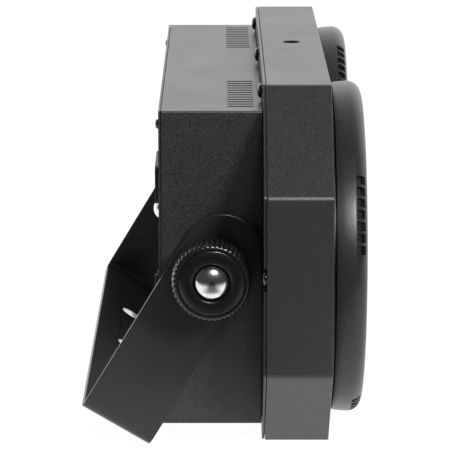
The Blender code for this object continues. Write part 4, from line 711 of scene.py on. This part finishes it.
# Glass, reflector and light source of each lamp
# A flat tempered glass, a bright bowl spun from thin aluminium with a hammered
# face, and a yellow phosphor disc on a white board under a black holder ring.
BOWL_NECK = 0.0170
BOWL_MOUTH = 0.0850
BOWL_FLANGE = 0.0950
BOWL_WALL = 0.0012
BOWL_CURVE = 0.70
BOWL_STEPS = 24
PHOSPHOR_RADIUS = 0.0145
PHOSPHOR_EDGE = 0.0002
GLASS_ROUGHNESS = (0.01, 0.05)
BOWL_LATHE_STEPS = 96


def make_dimple_group():
    """Round hammered dimples, as a height read from Object coordinates."""
    group, given, result = new_group("hammer_dimples", {"Dimples": 220.0}, ("Height",))
    nodes, links = group.nodes, group.links
    place = nodes.new("ShaderNodeTexCoord")
    cells = nodes.new("ShaderNodeTexVoronoi")
    cells.feature = "SMOOTH_F1"
    links.new(place.outputs["Object"], cells.inputs["Vector"])
    links.new(given.outputs["Dimples"], cells.inputs["Scale"])
    links.new(cells.outputs["Distance"], result.inputs["Height"])
    return group


spun_mirror = grained(
    "hammered_mirror", (0.60, 0.60, 0.61), (0.68, 0.68, 0.685), grain=900.0,
    roughness=(0.07, 0.14), bump=0.1, metallic=1.0)
nodes, links = spun_mirror.node_tree.nodes, spun_mirror.node_tree.links
dimples = nodes.new("ShaderNodeGroup")
dimples.node_tree = make_dimple_group()
links.new(dimples.outputs["Height"], nodes["relief"].inputs["Height"])
nodes["relief"].inputs["Strength"].default_value = 0.55
nodes["relief"].inputs["Distance"].default_value = 0.0012

for side, sign in LAMP_SIDES.items():
    node = f"reflector_{side}"
    low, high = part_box(node)
    neck = plate_back - high.y
    mouth = plate_back - low.y
    depth = mouth - BOWL_WALL - neck
    inner = []
    for step in range(BOWL_STEPS + 1):
        share = step / BOWL_STEPS
        inner.append((
            BOWL_NECK + (BOWL_MOUTH - BOWL_NECK) * share ** BOWL_CURVE, neck + depth * share))
    outer = [(radius + BOWL_WALL, height) for radius, height in inner]
    profile = inner + [
        (inner[-1][0], mouth), (BOWL_FLANGE, mouth), (BOWL_FLANGE, mouth - BOWL_WALL)]
    profile += reversed(outer)
    place = Matrix.Translation((sign * lamp_x, plate_back, axis_z)) @ FACING_FRONT
    bowl = new_piece(f"lamp_bowl_{side}", turn(profile, place, BOWL_LATHE_STEPS), spun_mirror)
    bowl.data.set_sharp_from_angle(angle=math.radians(40.0))
    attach(bowl, "lamp_head")
    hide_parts(node)


def dress(node, material):
    """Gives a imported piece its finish."""
    for slot in frame["nodes"][node].material_slots:
        slot.material = material


tempered_glass = bpy.data.materials.new("tempered_lamp_glass")
tempered_glass.use_nodes = True
nodes, links = tempered_glass.node_tree.nodes, tempered_glass.node_tree.links
shader = nodes["Principled BSDF"]
shader.inputs["Base Color"].default_value = (0.96, 0.98, 0.98, 1.0)
shader.inputs["Transmission Weight"].default_value = 1.0
shader.inputs["IOR"].default_value = 1.45
texture = nodes.new("ShaderNodeGroup")
texture.node_tree = GRAIN
texture.inputs["Grain"].default_value = 320.0
links.new(
    mapped(nodes, links, texture.outputs["Patch"], 0.0, 1.0, *GLASS_ROUGHNESS, curve="LINEAR"),
    shader.inputs["Roughness"])
ripple = nodes.new("ShaderNodeBump")
ripple.inputs["Strength"].default_value = 0.04
ripple.inputs["Distance"].default_value = 0.0002
links.new(texture.outputs["Height"], ripple.inputs["Height"])
links.new(ripple.outputs["Normal"], shader.inputs["Normal"])

phosphor = grained(
    "phosphor_board", (0.86, 0.62, 0.10), (0.95, 0.74, 0.18), grain=3500.0,
    roughness=(0.50, 0.65), bump=0.25)
nodes, links = phosphor.node_tree.nodes, phosphor.node_tree.links
where = nodes.new("ShaderNodeTexCoord")
across = nodes.new("ShaderNodeSeparateXYZ")
links.new(where.outputs["Object"], across.inputs[0])
beside = maths(nodes, links, "ABSOLUTE", across.outputs["X"])
flat_place = nodes.new("ShaderNodeCombineXYZ")
links.new(beside, flat_place.inputs["X"])
links.new(across.outputs["Z"], flat_place.inputs["Z"])
far = nodes.new("ShaderNodeVectorMath")
far.operation = "DISTANCE"
far.inputs[1].default_value = (lamp_x, 0.0, axis_z)
links.new(flat_place.outputs[0], far.inputs[0])
outside = mapped(
    nodes, links, far.outputs["Value"], PHOSPHOR_RADIUS - PHOSPHOR_EDGE,
    PHOSPHOR_RADIUS + PHOSPHOR_EDGE, curve="LINEAR")
yellow = nodes["Principled BSDF"].inputs["Base Color"].links[0].from_socket
links.new(
    colour_mix(nodes, links, outside, yellow, (0.82, 0.82, 0.80)),
    nodes["Principled BSDF"].inputs["Base Color"])

black_plastic = grained(
    "black_moulded_plastic", (0.014, 0.014, 0.015), (0.030, 0.030, 0.031), grain=1600.0,
    roughness=(0.38, 0.50), bump=0.25, specular=0.45)

for side in LAMP_SIDES:
    dress(f"lens_{side}", tempered_glass)
    dress(f"led_module_{side}", phosphor)
    dress(f"led_holder_{side}", black_plastic)


# Rear box
# A 1.5 mm sheet folded round the electronics, with a lip at each end and two
# rows of twelve slots over the coolers, above and below.
BOX_CREASE = 0.0010
BOX_END_BEND = 0.0004
BOX_EASE = 0.00015
BOX_LIP = 0.0090
VENT_COUNT = 12
VENT_PITCH = 0.00775
VENT_WIDTH = 0.0030
VENT_LENGTH = 0.0160
VENT_BACK = 0.0129

box_low, box_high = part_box("rear_housing")
bm = solid_box(box_low, box_high)
round_over(bm, edges_along(bm, 1), BOX_CREASE, 5)
end_faces = [face_towards(bm, (0, -1, 0)), face_towards(bm, (0, 1, 0))]
round_over(bm, [edge for face in end_faces for edge in face.edges], BOX_END_BEND, 3)
for toward in (-1, 1):
    end_face = face_towards(bm, (0, toward, 0))
    bmesh.ops.inset_region(bm, faces=[end_face], thickness=BOX_LIP, use_even_offset=True)
    bmesh.ops.delete(bm, geom=[end_face], context="FACES_ONLY")
for height, toward in ((box_high.z, 1), (box_low.z, -1)):
    slots = []
    for sign in LAMP_SIDES.values():
        for index in range(VENT_COUNT):
            x = sign * lamp_x + (index - (VENT_COUNT - 1) / 2) * VENT_PITCH
            slots += cut_loop(
                bm, Matrix.Translation((x, plate_back + VENT_BACK, height)), VENT_WIDTH,
                VENT_LENGTH, VENT_WIDTH / 2, 4)
    open_face(bm, face_towards(bm, (0, 0, toward)), slots)
rear_box = new_piece("rear_box", bm, powder_coat)
give_sheet(rear_box, HOUSING_SHEET)
ease_edges(rear_box, BOX_EASE, angle_deg=60.0)
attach(rear_box, "lamp_head")
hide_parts("rear_housing")


# Rear panel
# A flat sheet over the box's rear lip, with two fan grilles and the cut-outs
# for the display, keys, sockets, mains inlet and fuse.
GRILLE_BARS = 8
GRILLE_PITCH = 0.0078
GRILLE_SLOT = 0.0042
GRILLE_RADIUS = 0.0325
CUT_CLEARANCE = 0.0003
INLET_BODY = (0.0270, 0.0198)
SOCKET_BARREL = 0.0118
FUSE_BARREL = 0.0062
BUTTON_RADIUS = 0.0037
DISPLAY_FACE = (0.0500, 0.0240)
DISPLAY_CORNER = 0.0008
INLET_CORNER = 0.0005
PANEL_EASE = 0.00025

panel_low, panel_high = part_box("rear_panel")


def node_centre(node):
    """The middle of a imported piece."""
    low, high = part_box(node)
    return (low + high) / 2


def panel_cut(bm, centre, width, height, radius, steps=5):
    """A cut-out in the rear panel's plane."""
    place = Matrix.Translation((centre.x, panel_high.y, centre.z)) @ FACING_BACK
    return cut_loop(bm, place, width, height, radius, steps)


def round_cut(bm, node, radius):
    """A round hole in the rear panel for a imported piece."""
    hole = 2 * (radius + CUT_CLEARANCE)
    return panel_cut(bm, node_centre(node), hole, hole, hole / 2, 8)


bm = bmesh.new()
middle = (panel_low + panel_high) / 2
edges = panel_cut(
    bm, middle, panel_high.x - panel_low.x, panel_high.z - panel_low.z, BOX_CREASE, 4)
for side, sign in LAMP_SIDES.items():
    fan = node_centre(f"fan_frame_{side}")
    for index in range(GRILLE_BARS):
        rise = (index - (GRILLE_BARS - 1) / 2) * GRILLE_PITCH
        half = math.sqrt(GRILLE_RADIUS ** 2 - rise ** 2)
        edges += panel_cut(
            bm, fan + Vector((0, 0, rise)), 2 * half, GRILLE_SLOT, GRILLE_SLOT / 2, 4)
edges += panel_cut(
    bm, node_centre("display_window"), DISPLAY_FACE[0] + 2 * CUT_CLEARANCE,
    DISPLAY_FACE[1] + 2 * CUT_CLEARANCE, DISPLAY_CORNER)
for number in range(1, 5):
    edges += round_cut(bm, f"menu_button_{number}", BUTTON_RADIUS)
for node in ("data_in", "data_out"):
    edges += round_cut(bm, node, SOCKET_BARREL)
edges += panel_cut(
    bm, node_centre("power_inlet"), INLET_BODY[0] + 2 * CUT_CLEARANCE,
    INLET_BODY[1] + 2 * CUT_CLEARANCE, INLET_CORNER)
edges += round_cut(bm, "fuse_holder", FUSE_BARREL)
bmesh.ops.triangle_fill(
    bm, use_beauty=True, use_dissolve=False, edges=edges, normal=(0, 1, 0))
for face in bm.faces:
    if face.normal.y < 0.0:
        face.normal_flip()
rear_cover = new_piece("rear_cover", bm, powder_coat)
give_sheet(rear_cover, panel_high.y - panel_low.y)
ease_edges(rear_cover, PANEL_EASE, angle_deg=60.0)
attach(rear_cover, "lamp_head")
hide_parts("rear_panel")


# Coolers, fans, supply and boards
# Extruded aluminium coolers with fans behind them, a metal power supply and two
# green boards: seen only through the grilles and slots, as they were packed.
extruded_alloy = grained(
    "extruded_aluminium", (0.48, 0.49, 0.50), (0.66, 0.67, 0.68), grain=900.0,
    roughness=(0.32, 0.46), bump=0.20, metallic=1.0, stretch=0.05)

circuit_board = grained(
    "green_solder_mask", (0.012, 0.11, 0.05), (0.03, 0.19, 0.09), grain=700.0,
    roughness=(0.25, 0.40), bump=0.20)
nodes, links = circuit_board.node_tree.nodes, circuit_board.node_tree.links
where = nodes.new("ShaderNodeTexCoord")
tracks = nodes.new("ShaderNodeTexBrick")
tracks.inputs["Scale"].default_value = 120.0
tracks.inputs["Mortar Size"].default_value = 0.04
tracks.inputs["Color1"].default_value = (0.015, 0.12, 0.055, 1.0)
tracks.inputs["Color2"].default_value = (0.02, 0.15, 0.07, 1.0)
tracks.inputs["Mortar"].default_value = (0.05, 0.26, 0.12, 1.0)
turned_place = nodes.new("ShaderNodeMapping")
turned_place.inputs["Rotation"].default_value = (math.pi / 2, 0.0, 0.0)
links.new(where.outputs["Object"], turned_place.inputs["Vector"])
links.new(turned_place.outputs["Vector"], tracks.inputs["Vector"])
links.new(tracks.outputs["Color"], nodes["Principled BSDF"].inputs["Base Color"])

for side in LAMP_SIDES:
    dress(f"cooler_{side}", extruded_alloy)
    dress(f"fan_frame_{side}", black_plastic)
    dress(f"fan_rotor_{side}", black_plastic)
dress("power_supply", extruded_alloy)
dress("driver_board", circuit_board)
dress("control_board", circuit_board)


# Display and keys
# A dark blue window pushed through the panel, with four round keys under it
# that stand on the switches of the control board.
KEY_RIM = 0.0008
KEY_CROWN = 0.0007
KEY_RIM_THICKNESS = 0.0010
KEY_CAP_STEPS = ((0.0, 0.0), (0.45, 0.0001))
KEY_SHOULDER_DROP = 0.0003
KEY_LATHE_STEPS = 48
FINE_EASE = 0.0002


def eased_copy(node, name, material, width, angle_deg=30.0):
    """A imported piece's shape with its triangles merged and its edges eased."""
    bm = bmesh.new()
    bm.from_mesh(frame["nodes"][node].data)
    bmesh.ops.remove_doubles(bm, verts=bm.verts, dist=MERGE)
    bmesh.ops.dissolve_limit(
        bm, angle_limit=math.radians(1.0), verts=bm.verts, edges=bm.edges,
        use_dissolve_boundaries=False, delimit=set())
    piece = new_piece(name, bm, material)
    ease_edges(piece, width, 2, angle_deg)
    return piece


display_glass = grained(
    "dark_display_window", (0.012, 0.030, 0.080), (0.020, 0.050, 0.120), grain=2600.0,
    roughness=(0.08, 0.14), bump=0.03)
nodes, links = display_glass.node_tree.nodes, display_glass.node_tree.links
where = nodes.new("ShaderNodeTexCoord")
cells = nodes.new("ShaderNodeTexChecker")
cells.inputs["Scale"].default_value = 1600.0
cells.inputs["Color1"].default_value = (0.010, 0.026, 0.075, 1.0)
cells.inputs["Color2"].default_value = (0.020, 0.046, 0.115, 1.0)
links.new(where.outputs["Object"], cells.inputs["Vector"])
links.new(cells.outputs["Color"], nodes["Principled BSDF"].inputs["Base Color"])

window = eased_copy("display_window", "display_glass", display_glass, FINE_EASE)
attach(window, "lamp_head")
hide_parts("display_window")

for number in range(1, 5):
    node = f"menu_button_{number}"
    low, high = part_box(node)
    centre = node_centre(node)
    shoulder = low.y + KEY_RIM_THICKNESS
    height = high.y - shoulder
    profile = [(BUTTON_RADIUS * share, height - drop) for share, drop in KEY_CAP_STEPS]
    profile += [
        (BUTTON_RADIUS - KEY_CROWN, height - KEY_SHOULDER_DROP),
        (BUTTON_RADIUS, height - KEY_CROWN),
        (BUTTON_RADIUS, 0.0), (BUTTON_RADIUS + KEY_RIM, 0.0),
        (BUTTON_RADIUS + KEY_RIM, low.y - shoulder), (0.0, low.y - shoulder)]
    place = Matrix.Translation((centre.x, shoulder, centre.z)) @ FACING_BACK
    key = new_piece(f"key_{number}", turn(profile, place, KEY_LATHE_STEPS), black_plastic)
    ease_edges(key, FINE_EASE, 2, 30.0)
    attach(key, node)
    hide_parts(node)


# Data sockets
# Two round panel sockets with dark nickel shells: pins in the inlet, a black
# core with contacts and a sprung push tab in the outlet.
SOCKET_EASE = 0.0003

dark_nickel = grained(
    "dark_nickel_shell", (0.17, 0.17, 0.175), (0.30, 0.30, 0.305), grain=1800.0,
    roughness=(0.26, 0.40), bump=0.15, metallic=1.0)
zinc_steel = grained(
    "zinc_plated_steel", (0.46, 0.47, 0.49), (0.62, 0.63, 0.65), grain=800.0,
    roughness=(0.24, 0.38), bump=0.12, metallic=1.0)

for node in ("data_in", "data_out"):
    shell = eased_copy(node, node + "_shell", dark_nickel, SOCKET_EASE)
    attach(shell, "lamp_head")
    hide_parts(node)
tab = eased_copy("data_latch", "data_push_tab", zinc_steel, SOCKET_EASE)
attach(tab, "data_latch")
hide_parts("data_latch")


# Mains inlet, fuse and safety bolt
# A black moulded inlet with three pins, a fuse holder with a slotted cap, and
# a polished domed bolt for the safety cable.
BOLT_SHANK = 0.0030
BOLT_DOME_START_DEG = 12.0
BOLT_LATHE_STEPS = 64
DOME_STEPS = 10

for node, name, body, ease in (
        ("power_inlet", "mains_inlet", "lamp_head", SOCKET_EASE),
        ("fuse_holder", "fuse_barrel", "lamp_head", FINE_EASE),
        ("fuse_cap", "fuse_screw_cap", "fuse_cap", FINE_EASE)):
    moulding = eased_copy(node, name, black_plastic, ease)
    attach(moulding, body)
    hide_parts(node)

dark_chrome = grained(
    "dark_chrome", (0.66, 0.66, 0.67), (0.76, 0.76, 0.77), grain=420.0,
    roughness=(0.14, 0.20), bump=0.04, metallic=1.0)


def dome_points(radius, low, height, start_deg, steps):
    """A dome's profile from its rim up to its middle."""
    points = []
    for step in range(steps + 1):
        rise = math.radians(start_deg + (90.0 - start_deg) * step / steps)
        reach = radius * math.cos(rise) if step < steps else 0.0
        points.append((reach, low + height * math.sin(rise)))
    return points


low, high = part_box("safety_bolt")
centre = node_centre("safety_bolt")
head_radius = (high.x - low.x) / 2
head_seat = panel_high.y + CUT_CLEARANCE
head_height = high.y - head_seat
profile = [
    (0.0, low.y - head_seat), (BOLT_SHANK, low.y - head_seat), (BOLT_SHANK, 0.0),
    (head_radius, 0.0)]
profile += dome_points(head_radius, 0.0, head_height, BOLT_DOME_START_DEG, DOME_STEPS)
place = Matrix.Translation((centre.x, head_seat, centre.z)) @ FACING_BACK
bolt = new_piece("safety_dome_bolt", turn(profile, place, BOLT_LATHE_STEPS), dark_chrome)
bolt.data.set_sharp_from_angle(angle=math.radians(40.0))
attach(bolt, "lamp_head")
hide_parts("safety_bolt")


# Pivots
# Threaded bushes inside the box, dark friction washers between box and arms,
# and zinc-plated washers under the knobs.
washer_rubber = grained(
    "friction_washer", (0.012, 0.012, 0.012), (0.030, 0.030, 0.030), grain=1500.0,
    roughness=(0.70, 0.85), bump=0.35)
for side in LAMP_SIDES:
    dress(f"pivot_boss_{side}", zinc_steel)
    dress(f"friction_washer_{side}", washer_rubber)
    dress(f"knob_washer_{side}", zinc_steel)


# Yoke
# A flat steel strip, 46 x 3 mm, with round ends, bent twice and painted satin
# black; three bolt holes in its crossbar, bare steel inside, take a clamp.
YOKE_WIDTH = 0.0460
YOKE_THICKNESS = 0.0030
YOKE_REACH = 0.1110
YOKE_HEEL = 0.0120
YOKE_OUTER_BEND = 0.0070
YOKE_HOLE_RADIUS = 0.0065
YOKE_HOLE_OFFSET = 0.0800
YOKE_LEAN_DEG = 31.0
YOKE_EASE = 0.0005

pivot = Vector([joint["pos_m"] for joint in frame["joints"] if joint["name"] == "yoke_tilt"][0])
yoke_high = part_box("yoke")[1]
satin_paint = grained(
    "satin_black_paint", (0.013, 0.013, 0.0134), (0.026, 0.026, 0.0267), grain=1100.0,
    roughness=(0.28, 0.32), bump=0.18, specular=0.42)
bare_bore = grained(
    "bare_bolt_bore", (0.70, 0.70, 0.70), (0.80, 0.80, 0.80), grain=1500.0,
    roughness=(0.30, 0.40), bump=0.10, metallic=1.0)

bm = bmesh.new()
bmesh.ops.create_circle(
    bm, cap_ends=True, radius=YOKE_WIDTH / 2, segments=96,
    matrix=Matrix.Translation((yoke_high.x, 0.0, YOKE_HEEL)) @ Matrix.Rotation(math.pi / 2, 4, "Y"))
bmesh.ops.bisect_plane(
    bm, geom=bm.verts[:] + bm.edges[:] + bm.faces[:], plane_co=(0.0, 0.0, YOKE_HEEL),
    plane_no=(0.0, 0.0, 1.0), clear_inner=True)
bmesh.ops.remove_doubles(bm, verts=bm.verts, dist=MERGE)
cut_edges = [edge for edge in bm.edges
             if all(abs(vert.co.z - YOKE_HEEL) < MERGE for vert in edge.verts)]
for move in ((0.0, 0.0, -YOKE_HEEL - YOKE_REACH), (-yoke_high.x, 0.0, 0.0)):
    verts, cut_edges = extrude_rim(bm, cut_edges)
    bmesh.ops.translate(bm, verts=verts, vec=move)
bmesh.ops.mirror(
    bm, geom=bm.verts[:] + bm.edges[:] + bm.faces[:], matrix=Matrix.Identity(4), merge_dist=MERGE,
    axis="X")
bmesh.ops.recalc_face_normals(bm, faces=bm.faces)
seam = [edge for edge in bm.edges if all(abs(vert.co.x) < MERGE for vert in edge.verts)]
bmesh.ops.dissolve_edges(bm, edges=seam, use_verts=True)
folds = [edge for edge in bm.edges if all(
    abs(abs(vert.co.x) - yoke_high.x) < MERGE and abs(vert.co.z + YOKE_REACH) < MERGE
    for vert in edge.verts)]
round_over(bm, folds, YOKE_OUTER_BEND, 8)
crossbar = max(bm.faces, key=lambda face: abs(face.normal.z) * face.calc_area())
if crossbar.normal.z > 0.0:
    bmesh.ops.reverse_faces(bm, faces=bm.faces)
holes = []
for across in (-YOKE_HOLE_OFFSET, 0.0, YOKE_HOLE_OFFSET):
    holes += cut_loop(
        bm, Matrix.Translation((across, 0.0, -YOKE_REACH)), 2 * YOKE_HOLE_RADIUS,
        2 * YOKE_HOLE_RADIUS, YOKE_HOLE_RADIUS, 12)
open_face(bm, crossbar, holes)
for edge in holes:
    for face in edge.link_faces:
        face.material_index = 1
bmesh.ops.transform(
    bm, matrix=Matrix.Translation(pivot) @ Matrix.Rotation(math.radians(YOKE_LEAN_DEG), 4, "X"),
    verts=bm.verts)
# The rim takes the finish one slot after its face: paint round the strip, bare
# steel in the holes.
strip = new_piece("yoke_strip", bm, satin_paint)
strip.data.materials.append(satin_paint)
strip.data.materials.append(bare_bore)
give_sheet(strip, YOKE_THICKNESS)
strip.modifiers["sheet"].material_offset_rim = 1
ease_edges(strip, YOKE_EASE, 3, 60.0)
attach(strip, "yoke")
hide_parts("yoke")


# Hand knobs
# Black moulded knobs with 45 ridges round a threaded stud, each with a turned
# groove in its face and a polished dome cap pressed into the middle.
KNOB_RADIUS = 0.0228
KNOB_RIDGES = 45
KNOB_RIDGE_DEPTH = 0.0010
RIDGE_STEPS = 8
KNOB_HUB_RADIUS = 0.0125
KNOB_HUB_LENGTH = 0.0092
KNOB_GROOVE_RADIUS = 0.0193
CAP_SEAT_RADIUS = 0.0109
CAP_SEAT_DEPTH = 0.0030
STUD_RADIUS = 0.0040
CAP_SEAT_CENTRE = 0.0015
CAP_RADIUS = 0.0098
CAP_EDGE = 0.0002
CAP_DOME_START_DEG = 18.0
CAP_LATHE_STEPS = 96
KNOB_HUB_EDGE = 0.0004
# Each edge: in from the rim, along from the body's end, share of a ridge's depth
KNOB_REAR_EDGE = ((0.0022, 0.0, 0.0), (0.0010, 0.0004, 0.4), (0.0002, 0.0012, 0.9),
                  (0.0, 0.0020, 1.0))
KNOB_FRONT_EDGE = ((0.0, 0.0024, 1.0), (0.0002, 0.0015, 0.9), (0.0008, 0.0007, 0.6),
                   (0.0017, 0.0002, 0.2), (0.0026, 0.0, 0.0))
# The groove and the rim of the cap's seat: out from their radius, down from the face
KNOB_GROOVE = ((0.0008, 0.0), (0.0005, 0.0001), (0.0002, 0.0007), (-0.0002, 0.0007),
               (-0.0006, 0.0002), (-0.0010, 0.0))
CAP_SEAT_EDGE = ((0.0008, 0.0), (0.0003, 0.0002), (0.0, 0.0007), (0.0, CAP_SEAT_DEPTH))

knob_plastic = grained(
    "black_knob_moulding", (0.003, 0.003, 0.0032), (0.009, 0.009, 0.0095), grain=1500.0,
    roughness=(0.20, 0.27), bump=0.16, specular=0.50)


def ridge(angle):
    """How far the moulding dips between two ridges."""
    return 1.0 - abs(math.cos(angle * KNOB_RIDGES / 2))


for side, sign in LAMP_SIDES.items():
    node = f"knob_{side}"
    low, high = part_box(node)
    inner_end, face = (low.x, high.x) if sign > 0 else (-high.x, -low.x)
    washer_low, washer_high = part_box(f"knob_washer_{side}")
    seat = max(abs(washer_low.x), abs(washer_high.x)) + CUT_CLEARANCE
    body = seat + KNOB_HUB_LENGTH
    rings = [
        (STUD_RADIUS, inner_end, 0.0), (STUD_RADIUS, seat, 0.0),
        (KNOB_HUB_RADIUS - KNOB_HUB_EDGE, seat, 0.0),
        (KNOB_HUB_RADIUS, seat + KNOB_HUB_EDGE, 0.0), (KNOB_HUB_RADIUS, body, 0.0)]
    rings += [(KNOB_RADIUS - inset, body + along, KNOB_RIDGE_DEPTH * share)
              for inset, along, share in KNOB_REAR_EDGE]
    rings += [(KNOB_RADIUS - inset, face - along, KNOB_RIDGE_DEPTH * share)
              for inset, along, share in KNOB_FRONT_EDGE]
    rings += [(KNOB_GROOVE_RADIUS + out, face - down, 0.0) for out, down in KNOB_GROOVE]
    rings += [(CAP_SEAT_RADIUS + out, face - down, 0.0) for out, down in CAP_SEAT_EDGE]
    rings.append((CAP_SEAT_CENTRE, face - CAP_SEAT_DEPTH, 0.0))
    bm = bmesh.new()
    draw_out(bm, rings, KNOB_RIDGES * RIDGE_STEPS, ridge)
    place = Matrix.Translation((0.0, pivot.y, pivot.z)) @ Matrix.Rotation(
        sign * math.pi / 2, 4, "Y")
    bmesh.ops.transform(bm, matrix=place, verts=bm.verts)
    grip = new_piece(f"hand_knob_{side}", bm, knob_plastic)
    grip.data.set_sharp_from_angle(angle=math.radians(42.0))
    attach(grip, node)
    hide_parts(node)

    cap_low, cap_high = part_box(f"knob_cap_{side}")
    cap_seat, cap_top = sorted((abs(cap_low.x), abs(cap_high.x)))
    dome = cap_top - cap_seat
    profile = [
        (0.0, cap_seat), (CAP_RADIUS - CAP_EDGE, cap_seat), (CAP_RADIUS, cap_seat + CAP_EDGE)]
    rim = CAP_RADIUS / math.cos(math.radians(CAP_DOME_START_DEG))
    profile += dome_points(rim, cap_seat, dome, CAP_DOME_START_DEG, 2 * DOME_STEPS)
    button = new_piece(f"dome_cap_{side}", turn(profile, place, CAP_LATHE_STEPS), dark_chrome)
    button.data.set_sharp_from_angle(angle=math.radians(40.0))
    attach(button, node)
    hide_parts(f"knob_cap_{side}")
